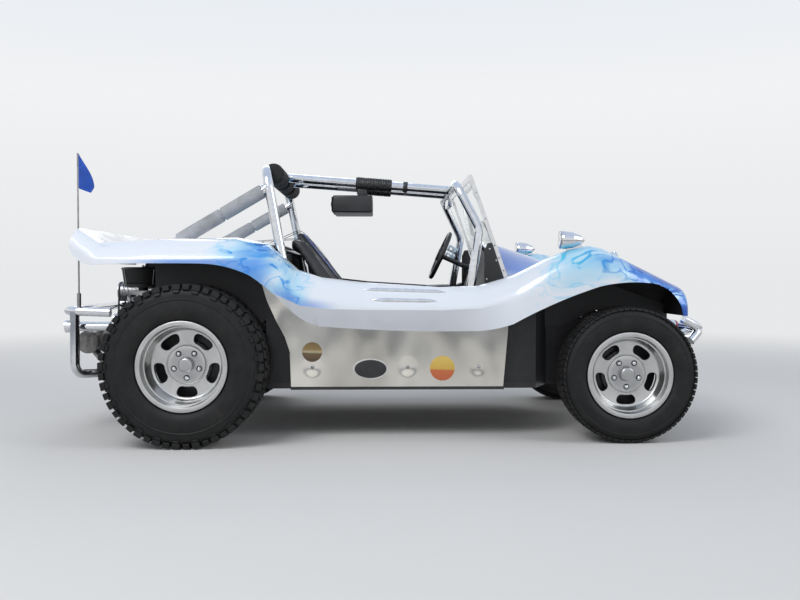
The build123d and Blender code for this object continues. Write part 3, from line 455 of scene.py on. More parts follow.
def insetFaces(piece, look, steps):
    # steps: width of each inset and how far it rises, in metres
    pick(piece, "FACE", lambda middle, normal: normal.dot(look) > 0.9)
    for width, rise in steps:
        bpy.ops.mesh.inset(thickness=width, depth=rise)
    closeEdit()


def useModifier(piece, kind, **settings):
    onlySelect(piece)
    made = piece.modifiers.new(kind.title(), kind)
    for key, value in settings.items():
        setattr(made, key, value)
    bpy.ops.object.modifier_apply(modifier=made.name)


def cutOut(piece, cutter):
    useModifier(piece, "BOOLEAN", object=cutter, operation="DIFFERENCE", solver="EXACT")
    bpy.data.objects.remove(cutter)


def copyPiece(piece, name):
    onlySelect(piece)
    bpy.ops.object.duplicate()
    twin = bpy.context.object
    twin.name = twin.data.name = name
    return twin


def cadCopy(node, name):
    # a CAD mesh is loose triangles, so its copy is merged first
    piece = copyPiece(cadNodes[node], name)
    openAll()
    bpy.ops.mesh.remove_doubles(threshold=0.00003)
    closeEdit()
    return piece


def joinPieces(*pieces):
    onlySelect(*pieces)
    bpy.ops.object.join()
    return bpy.context.object


def finishPiece(piece, finish, smooth=40, body="chassis", replaces=()):
    onlySelect(piece)
    bpy.ops.object.shade_smooth_by_angle(angle=math.radians(smooth))
    piece.data.materials.clear()
    piece.data.materials.append(finishes[finish])
    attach(piece, body)
    if replaces:
        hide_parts(*replaces)
    return piece


def drawLine(name, points, start=(0, 0, 0)):
    # a line of edges through points in mm from start, left in edit mode
    piece = addShape(name, "plane", size=0.01, location=Vector(start) + mm(*points[0]))
    bpy.ops.object.mode_set(mode="EDIT")
    bpy.ops.mesh.select_mode(type="VERT")
    bpy.ops.mesh.merge(type="CENTER")
    for before, after in zip(points, points[1:]):
        step = tuple((b - a) / 1000 for a, b in zip(before, after))
        bpy.ops.mesh.extrude_vertices_move(TRANSFORM_OT_translate={"value": step})
    bpy.ops.mesh.select_all(action="SELECT")
    return piece


def spinOutline(name, points, centre, steps, axis):
    piece = drawLine(name, points, centre)
    bpy.ops.mesh.spin(steps=steps, angle=2 * math.pi, center=centre, axis=axis)
    closeShell()
    return piece


def spinCopies(piece, count, centre):
    onlySelect(piece)
    openAll()
    turn = 2 * math.pi * (count - 1) / count
    bpy.ops.mesh.spin(steps=count - 1, dupli=True, angle=turn, center=centre, axis=(0, 1, 0))
    closeShell(merge=False)


def layAlong(piece, start, look, side=(0, 1, 0)):
    # a piece modelled up the Z axis is laid from start the way it looks, its own Y kept near side
    along = Vector(look).normalized()
    across = Vector(side) - Vector(side).dot(along) * along
    across.normalize()
    turn = Matrix((across.cross(along), across, along)).transposed().to_4x4()
    piece.matrix_world = Matrix.Translation(start) @ turn
    onlySelect(piece)
    bpy.ops.object.transform_apply(location=True, rotation=True, scale=True)


def turned(name, rows, spot, look, steps=24, side=(0, 1, 0), press=1.0):
    # rows: radius and place along the line that starts at spot and looks that way, in mm
    piece = spinOutline(name, [(out, 0, along) for out, along in rows], (0, 0, 0), steps, up)
    if press != 1.0:
        openAll()
        bpy.ops.transform.resize(value=(1, press, 1), center_override=(0, 0, 0))
        closeEdit()
    layAlong(piece, mm(*spot), look, side)
    return piece


def endRows(rows, length):
    # the far end's rows, the near end's turned round
    return [(radius, length - along) for radius, along in rows[::-1]]


def slab(name, low, high, rounding, segments=2):
    middle = (Vector(low) + Vector(high)) / 2000
    piece = addShape(name, "cube", size=1, location=middle)
    openAll()
    bpy.ops.transform.resize(value=(Vector(high) - Vector(low)) / 1000, center_override=middle)
    bevelAll(rounding / 1000, segments)
    return piece


def tubePath(name, points, radius, closed=False):
    # points in mm are the control points of one smooth line
    bpy.ops.object.select_all(action="DESELECT")
    bpy.ops.curve.primitive_nurbs_path_add(location=(0, 0, 0))
    path = bpy.context.object
    path.data.splines.clear()
    line = path.data.splines.new("NURBS")
    line.points.add(len(points) - 1)
    for spot, point in zip(line.points, points):
        spot.co = (*mm(*point), 1)
    line.order_u = 3
    line.use_endpoint_u = not closed
    line.use_cyclic_u = closed
    path.data.resolution_u = 6
    path.data.bevel_depth = radius / 1000
    path.data.bevel_resolution = 3
    path.data.use_fill_caps = not closed
    bpy.ops.object.convert(target="MESH")
    piece = startPiece(name)
    openAll()
    closeShell()
    return piece


def ribbon(name, points, y, width, thickness):
    # flat webbing: points are x and z in mm, the width lies across the car
    piece = drawLine(name, [(x, y - width / 2, z) for x, z in points])
    bpy.ops.mesh.extrude_edges_move(TRANSFORM_OT_translate={"value": (0, width / 1000, 0)})
    closeEdit()
    useModifier(piece, "SOLIDIFY", thickness=thickness / 1000, offset=0)
    useModifier(piece, "SUBSURF", levels=1, render_levels=1)
    return piece


def plateShape(name, outline, y0, y1, rounding=0.0):
    # outline is x and z in mm, the plate stands along the car between y0 and y1
    piece = drawLine(name, [(x, y0, z) for x, z in outline])
    bpy.ops.mesh.edge_face_add()
    bpy.ops.mesh.extrude_region_move(TRANSFORM_OT_translate={"value": mm(0, y1 - y0, 0)})
    closeShell(merge=False)
    if rounding:
        bevelAll(rounding / 1000, 2)
    return piece


# wheels: outlines are radius and place outwards along the axle, in mm
wheels = {
    # hub cap and brake drum, the same on both axles but for the lift
    "hub": ((0, 43), (20, 43), (27, 42.2), (31, 40), (33.4, 36), (34, 32), (34, 14), (36, 11), (82, 11), (85, 10.2),
            (87, 8), (88, 3.4), (89.5, 2.4), (91.5, 2.4), (93, 4)),
    "drum": ((0, -18), (60, -18), (64, -22), (96, -22), (104, -24), (110, -28), (112, -34), (112, -40), (109, -42),
             (109, -46), (112, -48), (112, -54), (109, -56), (109, -60), (112, -62)),
    "drumFoot": ((109, -74), (109, -78), (0, -78)), "slots": 5,
    "nuts": {"count": 5, "circle": 61, "pocket": 14, "size": 11, "shadeDisc": 13.8,
             "dome": ((0.0018, 0.002), (0.001, 0.0035), (0.0022, 0.0018), (0.0024, 0.0006))},
    "rear": {
        "y": 0.766, "lift": 0, "nutSeat": 11, "backingPlateAndShadeEdge": 164,
        "tyre": ((191, 109.7), (207, 109.7), (211, 113), (213.5, 118.5), (218.5, 120.5), (222, 124.5), (240, 130.5),
                 (258, 132.3), (280, 131), (296, 128.5), (299, 130.4), (304, 130.2), (307, 127.8), (322, 127),
                 (338, 122), (348, 112), (353.5, 90), (355, 45), (355.5, 0)),
        "rim": ((153, 4), (158, 5.5), (162, 10), (166, 20), (168, 28), (174, 72), (174.5, 74.5), (178.6, 75.4),
                (180.5, 78), (183.5, 116.5), (184.6, 119), (187, 120), (202, 120), (204.4, 119), (205.5, 116),
                (205.5, 112), (204, 110), (193, 110), (190, 107), (190, -107), (193, -110), (204, -110),
                (205.5, -112), (205.5, -117), (204, -119.5), (187, -119.5), (181, -112), (179, -22), (172, -16),
                (140, -14), (0, -14)),
        "slot": {"middle": 127, "height": 50, "sweep": 42, "round": 21},
        # out from the middle, drop from the tip, height, length, width, lean, twist, turn of each side's block
        "tread": {"pitches": 25, "round": 2.0, "blocks": (
            (106, 4.5, 24, 36, 44, -9, 0, (0.6, 3.2)), (107, 4.5, 24, 30, 40, -9, 0, (7.9, 10.6)),
            (122, 21, 22, 28, 14, -28, 0, (0.6, 3.2)), (60, 1.2, 17, 38, 34, 0, 16, (1.6, 4.4)),
            (60, 1.2, 17, 32, 30, 0, -12, (9.0, 11.6)), (20, 0.6, 17, 36, 30, 0, -18, (0.2, 3.4)),
            (20, 0.6, 17, 34, 28, 0, 14, (7.4, 10.8)))}},
    "front": {
        "y": 0.700, "lift": 11, "nutSeat": 22, "backingPlateAndShadeEdge": 158,
        "tyre": ((185.5, 79.7), (201.5, 79.7), (205, 83), (207, 88), (212, 90), (216, 94), (232, 98.8), (244, 99.6),
                 (262, 99), (272, 97), (275, 98.4), (279, 98), (282, 96), (294, 92.5), (301, 88), (305.5, 80),
                 (307.5, 60), (309, 30), (309.3, 0)),
        "rim": ((149, 15), (153, 16.5), (157, 21), (160, 31), (163, 38), (168, 56), (168.5, 58.5), (172.6, 59.4),
                (174.5, 62), (178, 86.5), (179, 89), (181.5, 90), (196.5, 90), (198.8, 89), (200, 86), (200, 82),
                (198.5, 80), (188, 80), (184.5, 77), (184.5, -77), (188, -80), (198.5, -80), (200, -82), (200, -87),
                (198.5, -89.5), (181, -89.5), (175.5, -82), (173.5, -11), (167, -5), (140, -3), (0, -3)),
        "slot": {"middle": 123, "height": 46, "sweep": 41, "round": 20},
        "tread": {"pitches": 66, "round": 1.0, "blocks": (
            (86, 6.0, 11, 25, 20, -14, 0, (1.0, 3.6)), (58, 1.4, 9, 26, 26, -2, 12, (0.4, 3.0)),
            (29, 0.5, 8, 26, 22, 0, -16, (1.4, 4.2)), (0, 0.2, 8, 27, 24, 0, 10, (0,)))}},
}


def treadBlocks(name, centre, radius, tread):
    # one pitch of blocks at the top of the tyre, then copies right round
    piece = addShape(name, "plane", size=0.01, location=centre)
    bpy.ops.object.mode_set(mode="EDIT")
    bpy.ops.mesh.select_mode(type="VERT")
    bpy.ops.mesh.delete(type="VERT")
    for out, drop, high, long, wide, lean, twist, turns in tread["blocks"]:
        for side, turn in zip((1, -1), turns):
            middle = (centre[0], centre[1] + side * out / 1000, centre[2] + radius - (drop + high / 2) / 1000)
            bpy.ops.mesh.primitive_cube_add(size=1, location=middle)
            bpy.ops.transform.resize(value=mm(long, wide, high), center_override=middle)
            for angle, axis in ((side * lean, "X"), (twist, "Z")):
                bpy.ops.transform.rotate(value=math.radians(angle), orient_axis=axis, center_override=middle)
            bpy.ops.mesh.bevel(offset=tread["round"] / 1000, segments=1, affect="EDGES")
            bpy.ops.mesh.select_linked()
            bpy.ops.transform.rotate(value=math.radians(turn), orient_axis="Y", center_override=centre)
    closeEdit()
    spinCopies(piece, tread["pitches"], centre)
    return piece


def slotCutter(centre, slot, faceY):
    # a radial strip swept part way round, its corners rounded, then copied to all the slots
    low = (centre[0], faceY, centre[2] - slot["middle"] / 1000)
    piece = addShape("slotCutter", "plane", size=1, location=low, rotation=(0, math.pi / 2, 0))
    bpy.ops.object.mode_set(mode="EDIT")
    bpy.ops.mesh.select_mode(type="VERT")
    bpy.ops.transform.resize(value=(1, 0.09, slot["height"] / 1000), center_override=low)
    bpy.ops.transform.rotate(value=-math.radians(slot["sweep"] / 2), orient_axis="Y", center_override=centre)
    bpy.ops.mesh.spin(steps=3, angle=math.radians(slot["sweep"]), center=centre, axis=(0, 1, 0))
    closeShell()
    half = math.radians(slot["sweep"] / 2 - 1)
    pick(piece, "EDGE", lambda middle, along: abs(along.y) > 0.9 and
         abs(math.atan2(middle.x - centre[0], centre[2] - middle.z)) > half)
    bpy.ops.mesh.bevel(offset=slot["round"] / 1000, segments=5, affect="EDGES")
    closeEdit()
    spinCopies(piece, wheels["slots"], centre)
    return piece


def nutRing(name, centre, middleY, radius, depth, rounding, vertices=24, dome=()):
    # one short bar with soft edges, perhaps domed, then copied to each nut's place
    nuts = wheels["nuts"]
    spot = (centre[0], middleY, centre[2] - nuts["circle"] / 1000)
    piece = addShape(name, "cylinder", vertices=vertices, radius=radius / 1000, depth=depth, location=spot,
                     rotation=(math.pi / 2, 0, 0))
    if dome:
        insetFaces(piece, (0, -1, 0), dome)
    bevelAll(rounding)
    spinCopies(piece, nuts["count"], centre)
    return piece


def turnAcross(piece):
    # a mirror about the car's upright middle plane takes a right-hand wheel to the left
    onlySelect(piece)
    openAll()
    bpy.ops.transform.mirror(constraint_axis=(False, True, False), orient_type="GLOBAL", center_override=(0, 0, 0))
    closeShell(merge=False)


def makeWheel(end):
    wheel, nuts, lift = wheels[end], wheels["nuts"], wheels[end]["lift"]
    along, radius = wheelSpots[end]
    centre = (along, -wheel["y"], radius)

    def spun(name, rows, steps):
        # outwards is -Y on the right-hand side
        return spinOutline(name, [(r, -out, 0) for r, out in rows], centre, steps, (0, 1, 0))

    half = wheel["tyre"]
    carcass = spun(end + "TyreRight", half + tuple((r, -out) for r, out in half[-2::-1]) + half[:1], 96)
    tyre = joinPieces(carcass, treadBlocks(end + "Tread", centre, radius, wheel["tread"]))
    rim = spun(end + "RimRight", [(r, out + lift) for r, out in wheels["hub"]] + list(wheel["rim"]), 120)
    seatY = centre[1] - wheel["nutSeat"] / 1000
    cutOut(rim, slotCutter(centre, wheel["slot"], seatY))
    cutOut(rim, nutRing("pocketCutter", centre, seatY + 0.002, nuts["pocket"], 0.018, 0.001))
    nutPieces = nutRing(end + "NutsRight", centre, seatY + 0.003, nuts["size"], 0.012, 0.0005, 6, nuts["dome"])
    # a black backing plate out to this radius closes the wheel behind the slots; it also stands in for the shade seen
    # through them
    edge = wheel["backingPlateAndShadeEdge"]
    drumRows = [*wheels["drum"], (edge, -64), (edge, -72), *wheels["drumFoot"]]
    drum = spun(end + "DrumRight", [(r, out + lift) for r, out in drumRows], 72)
    # painted shade: a black disc at the bottom of each nut pocket darkens the recess
    drum = joinPieces(drum, nutRing(end + "NutWellsRight", centre, seatY + 0.0095, nuts["shadeDisc"], 0.002, 0.0004))
    for kind, piece, finish in (("Tyre", tyre, end + "Rubber"), ("Rim", rim, end + "Alloy"),
                                ("Nuts", nutPieces, "chrome"), ("Drum", drum, "blackSteel")):
        other = copyPiece(piece, end + kind + "Left")
        turnAcross(other)
        for item, side in ((piece, "right"), (other, "left")):
            node = f"{end}_{'tyre' if kind == 'Tyre' else 'rim'}_{side}"
            finishPiece(item, finish, 32, f"{end}_wheel_{side}", (node,))


for end in wheelSpots:
    makeWheel(end)
print("wheels made")


# body: paint on what shows from outside, dark gel coat on the rest; the dark undersides also stand in for painted shade
# under the body
def makeBody():
    skin = cadCopy("body_shell", "bodySkin")
    bpy.ops.object.shade_smooth_by_angle(angle=math.radians(38))
    skin.data.materials.clear()
    skin.data.materials.append(finishes["body"])
    skin.data.materials.append(finishes["blackGel"])
    bpy.context.view_layer.update()
    for face in skin.data.polygons:
        middle, normal = face.center, face.normal
        side, end = math.copysign(1, middle.y), math.copysign(1, middle.x)
        looks = [Vector(up)]
        if abs(middle.y) > 0.56:
            looks += [Vector((0, side, 0)), Vector((0, side, 0.6))]
        if middle.x > 0.3 and middle.z > 0.6:
            looks += [Vector((0, lean, 1)) for lean in (-0.5, 0.5, -1.1, 1.1)]
        if middle.x > 1.2 or middle.x < -1.25:
            looks += [Vector((end, 0, 0)), Vector((end, 0, 0.5))]
        # faces not seen from above or outside go dark: partly the gel coat, partly painted shade
        seen = any(normal.dot(look) > 0.12 and not skin.ray_cast(middle + normal * 0.002, look)[0] for look in looks)
        face.material_index = 0 if seen else 1
    useModifier(skin, "WEIGHTED_NORMAL", keep_sharp=True)
    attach(skin, "chassis")
    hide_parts("body_shell")
    return skin


bodySkin = makeBody()


def skinSpot(start, look):
    # where a line from outside meets the body, in mm
    return bodySkin.ray_cast(mm(*start), Vector(look))[1] * 1000


def skinSide(x, z, side):
    return skinSpot((x, side * 1200, z), (0, -side, 0))


def skinTop(x, y):
    return skinSpot((x, y, 1500), (0, 0, -1))


print("body made")

# inner wings: dark walls that close the arches inboard of the tyres, partly a sheet of painted shade inside the arches;
# arch is its middle and radius
innerWings = {"thick": 4, "gap": 9, "steps": 18,
              "rear": {"y": 575, "from": -1105, "to": -560, "arch": (-915, 372, 260), "floor": 560},
              "front": {"y": 452, "from": 640, "to": 1500, "arch": (1125, 316, 300), "floor": 520}}


def innerWing(name, row, side):
    steps, thick, floor = innerWings["steps"], innerWings["thick"], row["floor"]
    archX, archZ, radius = row["arch"]
    spots = []
    for step in range(steps + 1):
        x = row["from"] + (row["to"] - row["from"]) * step / steps
        high = skinTop(x, side * row["y"]).z - innerWings["gap"]
        reach = radius * radius - (x - archX) ** 2
        low = max(floor, archZ + math.sqrt(reach)) if reach > 0 else floor
        if high > low + thick:
            spots.append((x, high, low))
    outline = [(x, high) for x, high, low in spots] + [(x, low) for x, high, low in spots[::-1]]
    # painted shade: the black walls also stand for the shade inside the arches
    finishPiece(plateShape(name, outline, side * row["y"], side * (row["y"] + thick)), "blackGel", 35)


for side, word in bothSides:
    for end in wheelSpots:
        innerWing(f"{end}InnerWing{word}", innerWings[end], side)

# bright strips along the sills: a pair each side, their ends drawn to a point
sillStrips = {"rows": ((-108, 709, 281, 697), (-70, 661, 239, 655)), "radius": 12, "press": 0.45, "tip": 60,
              "point": ((0, 0), (0.22, 0.06), (0.5, 0.25), (0.8, 0.6), (1, 1))}


def makeStrip(name, x0, z0, x1, z1, side):
    radius, tip = sillStrips["radius"], sillStrips["tip"]
    start, end = skinSide(x0, z0, side), skinSide(x1, z1, side)
    length = (end - start).length
    point = [(radius * r, tip * a) for r, a in sillStrips["point"]]
    middle = [(radius, tip + (length - 2 * tip) * step / 10) for step in range(1, 10)]
    strip = turned(name, point + middle + endRows(point, length), start, end - start, 16, press=sillStrips["press"])
    for vertex in strip.data.vertices:
        share = (vertex.co.x * 1000 - start.x) / (end.x - start.x)
        line = start + (end - start) * share
        vertex.co.y += (skinSide(vertex.co.x * 1000, line.z, side).y - line.y) / 1000
    return strip


for side, word in bothSides:
    pair = [makeStrip(f"sillStrip{word}{i}", *row, side) for i, row in enumerate(sillStrips["rows"])]
    finishPiece(joinPieces(*pair), "chrome")

# fixings: a washer and domed head, turned about its own line
fixing = {"deck": ((0, 0), (12, 0), (12, 1.5), (9.5, 2.4), (6.5, 2.6), (6.5, 5), (4.8, 7.6), (0, 8.6)),
          "panel": ((0, -0.5), (9, -0.5), (9, 1), (8, 1.8), (5.2, 2), (5, 3.4), (3.4, 4.8), (0, 5.4)),
          "small": ((0, -0.5), (4.5, -0.5), (4.4, 1.2), (3.0, 2.4), (0, 2.9)),
          "deckX": (-1097, -936, -775, -600), "deckY": 548, "panelFace": 650}


def fixings(name, kind, spots, look):
    heads = [turned(f"{name}{i}", fixing[kind], spot, look, 14, (1, 0.1, 0.1)) for i, spot in enumerate(spots)]
    finishPiece(joinPieces(*heads), "steel", 35)


fixings("deckBolts", "deck", [skinTop(x, side * fixing["deckY"]) for side in (-1, 1) for x in fixing["deckX"]], up)
for side, word in bothSides:
    spots = [(x, side * fixing["panelFace"], panelScrews["z"]) for x in panelScrews["x"]]
    fixings(f"panelScrews{word}", "panel", spots, (0, side, 0))

# blank round and oval badges on the near panel: x, z, radius, squeeze, height and finish
badges = {"brownBadge": (-352, 415, 47, 1.0, 1.2, "brownBadge"), "ovalBadge": (-76, 334, 85, 0.582, 1.2, "paleEdge"),
          "ovalBadgeFace": (-76, 334, 76, 0.570, 2.0, "blackSteel"),
          "amberBadge": (265, 337, 59, 1.0, 1.2, "amberBadge")}
for name, (x, z, radius, press, rise, finish) in badges.items():
    rows = ((0, -0.6), (radius, -0.6), (radius, rise - 0.5), (radius - 1.2, rise), (0, rise))
    finishPiece(turned(name, rows, (x, -fixing["panelFace"], z), (0, -1, 0), 64, up, press), finish, 30)
print("body fittings made")

# foam and padding on the tubes; from, to and joint are shares of the way down
foam = {
    "stay": {"top": (-570.3, 516, 1206), "foot": (-1034, 480, 938), "from": 0.065, "to": 0.955, "joint": 0.48,
             "radius": 34, "core": 22.6},
    "collar": ((22.4, 0), (26, 0), (27.5, 1.5), (27.5, 7), (26, 8.5), (24.5, 9.5), (24.5, 13), (26, 14), (27.5, 15.5),
               (27.5, 21), (26, 22.5), (22.4, 22.5), (22.4, 0)),
    "headRoll": {"x": -558, "z": 1284, "radius": 50, "spans": ((-436, -158), (-102, 102), (158, 436))},
}


def foamTube(name, start, end):
    radius, core, length = foam["stay"]["radius"], foam["stay"]["core"], (end - start).length
    joint = length * foam["stay"]["joint"]
    tip = [(core, 0), (radius - 4, 0), (radius - 1.2, 2.5), (radius, 7)]
    groove = [(radius, joint - 7), (radius - 6, joint - 3), (radius - 6, joint + 3), (radius, joint + 7)]
    return turned(name, tip + groove + endRows(tip, length) + tip[:1], start, end - start, 36)


for side, word in bothSides:
    stay = foam["stay"]
    top, foot = (Vector((x, side * y, z)) for x, y, z in (stay["top"], stay["foot"]))
    roll = foamTube(f"stayFoam{word}", top.lerp(foot, stay["from"]), top.lerp(foot, stay["to"]))
    finishPiece(roll, "foam", replaces=("stay_padding",))
    spot = top.lerp(foot, 0.012)
    finishPiece(turned(f"stayCollar{word}", foam["collar"], spot, foot - spot, 36), "chrome")
for i, (near, far) in enumerate(foam["headRoll"]["spans"]):
    row = foam["headRoll"]
    radius, length = row["radius"], far - near
    tip = [(0, 0), (30, 0), (42, 2), (48, 7), (radius, 14), (radius, length / 2 - 6)]
    rows = tip + [(radius - 2, length / 2)] + endRows(tip, length)
    roll = turned(f"headRoll{i}", rows, (row["x"], near, row["z"]), (0, 1, 0), 40, up)
    finishPiece(roll, "blackFoam", 45)

# gathered black sleeves on the roof bars; bar is x and z of its two ends
sleeve = {"from": -159, "to": 33, "radius": 35, "folds": 24, "bar": (-589, 1301, 347, 1231), "y": 130,
          "end": [(23, 0), (31, 0)], "deep": 2.4, "swell": 1.6, "ruffle": 0.0016}


def barHeight(x):
    x0, z0, x1, z1 = sleeve["bar"]
    return z0 + (z1 - z0) * (x - x0) / (x1 - x0)


for side, word in bothSides:
    length, count = sleeve["to"] - sleeve["from"], sleeve["folds"] * 2
    start, end = (Vector((x, side * sleeve["y"], barHeight(x))) for x in (sleeve["from"], sleeve["to"]))
    rows = list(sleeve["end"])
    for step in range(count):
        radius = sleeve["radius"] - sleeve["deep"] * (step % 2) - sleeve["swell"] * math.sin(step * 1.9)
        rows.append((radius, 3 + (length - 6) * step / (count - 1)))
    rows += endRows(sleeve["end"], length) + sleeve["end"][:1]
    wrap = turned(f"barWrap{word}", rows, start, end - start, 40)
    openAll()
    bpy.ops.transform.vertex_random(offset=sleeve["ruffle"], uniform=0.0, normal=0.6, seed=4)
    closeEdit()
    useModifier(wrap, "SUBSURF", levels=1, render_levels=1)
    finishPiece(wrap, "wrapCloth", 60)
print("foam and wraps made")

# pennant on the whip: a thin cloth that hangs from the mast
pennant = {"mastX": -1509.2, "y": -452, "top": 1376, "steps": 22, "across": 9, "width": 76, "drop": 172, "sag": 22,
           "fold": 5.5, "widest": 0.86, "thick": 0.0006}


def makePennant():
    row = pennant
    cloth = addShape("pennantCloth", "grid", x_subdivisions=row["across"], y_subdivisions=row["steps"], size=1,
                     location=(0, 0, 0))
    for vertex in cloth.data.vertices:
        across, down = vertex.co.x + 0.5, 0.5 - vertex.co.y
        if down < row["widest"]:
            reach = row["width"] * math.sin(min(1, down * 1.12) * math.pi / 2) ** 1.2
        else:
            reach = row["width"] - (down - row["widest"]) * 120
        fold = row["fold"] * math.sin(across * 7.5 + down * 2.2) * across * (0.35 + down)
        height = row["top"] - row["drop"] * down - row["sag"] * across * down
        vertex.co = mm(row["mastX"] + 0.6 + reach * across, row["y"] + fold, height)
    useModifier(cloth, "SUBSURF", levels=1, render_levels=1)
    useModifier(cloth, "SOLIDIFY", thickness=row["thick"], offset=0)
    return finishPiece(cloth, "flag", 60, replaces=("flag",))


cloth = makePennant()
print("pennant made")

# seats: a vinyl cover with soft edges over each bucket, a sewn insert and piping; rim is x, z and half width
seats = {
    "x": -190, "y": 325, "voxel": 0.007, "rounds": 42,
    "rim": ((395, 450, 195), (360, 470, 195), (130, 430, 195), (15, 590, 195), (-64, 756, 193), (-252, 992, 133),
            (-275, 1019, 119), (-310, 1029, 112)),
    "back": ((-28, 560), (-106, 756), (-246, 950)), "cushion": ((105, 348), (370, 425)), "cushionRolls": 4,
    "insert": {"width": 232, "thick": 34, "roll": 15, "voxel": 0.0055, "cap": 0.006},
    "rail": {"apart": 135, "feet": (-150, 160)}, "piping": 5.0,
    # painted highlight: the far seat's piping is blue for the glint along it, while the near seat's stays black
    "Right": {"top": 952, "rolls": 6, "crest": (-440, 925, 34, 128), "edge": "vinyl"},
    "Left": {"top": 1029, "rolls": 8, "edge": "piping"},
}


def puffUp(piece, cap):
    # cloth blown up a little; each point may move no further than the cap
    before = [vertex.co.copy() for vertex in piece.data.vertices]
    onlySelect(piece)
    soft = piece.modifiers.new("Cloth", "CLOTH")
    soft.settings.use_pressure = True
    soft.settings.uniform_pressure_force = 4.0
    soft.settings.effector_weights.gravity = 0.0
    for step in range(1, 21):
        bpy.context.scene.frame_set(step)
    bpy.ops.object.modifier_apply(modifier=soft.name)
    bpy.context.scene.frame_set(1)
    for vertex, start in zip(piece.data.vertices, before):
        move = vertex.co - start
        if move.length > cap:
            vertex.co = start + move.normalized() * cap


def alongPath(path, share):
    # the place this share of the way along a line of x and z
    lengths = [(Vector(b) - Vector(a)).length for a, b in zip(path, path[1:])]
    far = sum(lengths) * share
    for a, b, length in zip(path, path[1:], lengths):
        if far <= length + 0.001:
            return Vector(a).lerp(Vector(b), far / length)
        far -= length


def sewnInsert(name, path, count, y):
    # a row of rolls side by side along the path, grown together where they are sewn
    row = seats["insert"]
    thick, wide, rolls = row["thick"] / 2, row["width"] / 2, []
    for step in range(count):
        spots = (alongPath(path, share / count) for share in (step, step + 1))
        start, end = (mm(seats["x"] + spot.x, y, spot.y) for spot in spots)
        tall = (end - start).length * 1000 + 2
        roll = slab(f"{name}Roll{step}", (-thick, -wide, 0), (thick, wide, tall), row["roll"], 4)
        layAlong(roll, start, end - start)
        rolls.append(roll)
    insert = joinPieces(*rolls)
    insert.name = insert.data.name = name
    useModifier(insert, "REMESH", mode="VOXEL", voxel_size=row["voxel"])
    useModifier(insert, "SMOOTH", factor=0.5, iterations=3)
    puffUp(insert, row["cap"])
    useModifier(insert, "SMOOTH", factor=0.5, iterations=2)
    finishPiece(insert, "insertVinyl", 60)


def makeSeat(word, side):
    row, y = seats[word], side * seats["y"]
    node = f"seat_{word.lower()}"
    cover = cadCopy(node, f"seatCover{word}")
    if "crest" in row:
        x, z, radius, reach = row["crest"]
        tip = [(0, 0), (radius - 12, 0), (radius - 4, 5), (radius, 16)]
        rows = tip + endRows(tip, 2 * reach)
        cover = joinPieces(cover, turned("seatCrest", rows, (x, y - reach, z), (0, 1, 0), 32, up))
    useModifier(cover, "REMESH", mode="VOXEL", voxel_size=seats["voxel"])
    useModifier(cover, "SMOOTH", factor=0.7, iterations=seats["rounds"])
    finishPiece(cover, "vinyl", 60, replaces=(node,))
    rails = []
    for across in (-seats["rail"]["apart"], seats["rail"]["apart"]):
        near, name = y + across, f"{word}{across}"
        rails.append(slab(f"seatRail{name}", (-180, near - 14, 247), (190, near + 14, 262), 2))
        rails += [slab(f"seatFoot{name}{x}", (x - 16, near - 10, 258), (x + 16, near + 10, 312), 2)
                  for x in seats["rail"]["feet"]]
    finishPiece(joinPieces(*rails), "blackSteel", 35)
    highest = row["top"] - 70
    back = [spot for spot in seats["back"] if spot[1] < highest]
    if len(back) < len(seats["back"]):
        low, high = back[-1], seats["back"][len(back)]
        share = (highest - low[1]) / (high[1] - low[1])
        back.append((low[0] + (high[0] - low[0]) * share, highest))
    sewnInsert(f"backInsert{word}", back, row["rolls"], y)
    sewnInsert(f"cushionInsert{word}", seats["cushion"], seats["cushionRolls"], y)
    rim = [spot for spot in seats["rim"] if spot[1] < row["top"] - 4]
    if rim[-1][1] < 980:
        rim.append((-214, row["top"] - 8, 142))
    for edge in (-1, 1):
        points = [(seats["x"] + x - 3, y + edge * (wide - 13), z - 3) for x, z, wide in rim]
        piping = tubePath(f"piping{word}{'In' if edge * side < 0 else 'Out'}", points, seats["piping"])
        finishPiece(piping, row["edge"], 60)


for side, word in bothSides:
    makeSeat(word, side)
print("seats made")

# belts: x and z of each strap from the deck to the buckle
belts = {
    "width": 46, "thick": 1.8, "apart": 62, "deckX": -700, "lap": ((-135, 405), (-85, 411)), "lapReach": 150,
    "shared": ((-264, 772), (-190, 590), (-168, 500), (-110, 425)),
    "Left": ((-510, 1038), (-486, 1044), (-452, 1000), (-405, 962)), "Right": ((-462, 962), (-440, 966), (-402, 946)),
    "buckle": ((0, 0), (30, 0), (33, 3), (33, 12), (29, 17), (18, 18), (16, 15), (0, 15)),
}
for side, word in bothSides:
    middle = side * seats["y"]
    for part, offset in (("Outer", 1), ("Inner", -1)):
        y = middle + offset * belts["apart"]
        points = ((belts["deckX"], skinTop(belts["deckX"], y).z + 3), *belts[word], *belts["shared"])
        finishPiece(ribbon(f"belt{word}{part}", points, y, belts["width"], belts["thick"]), "webbing", 60)
    buckle = turned(f"buckle{word}", belts["buckle"], (-112, middle, 418), (42, 0, 70), 32)
    low, high = ((x, middle + end * belts["lapReach"], z) for end, (x, z) in zip((-1, 1), belts["lap"]))
    finishPiece(slab(f"lapStrap{word}", low, high, 2), "webbing", 60)
    finishPiece(buckle, "steel", 35)
print("belts made")

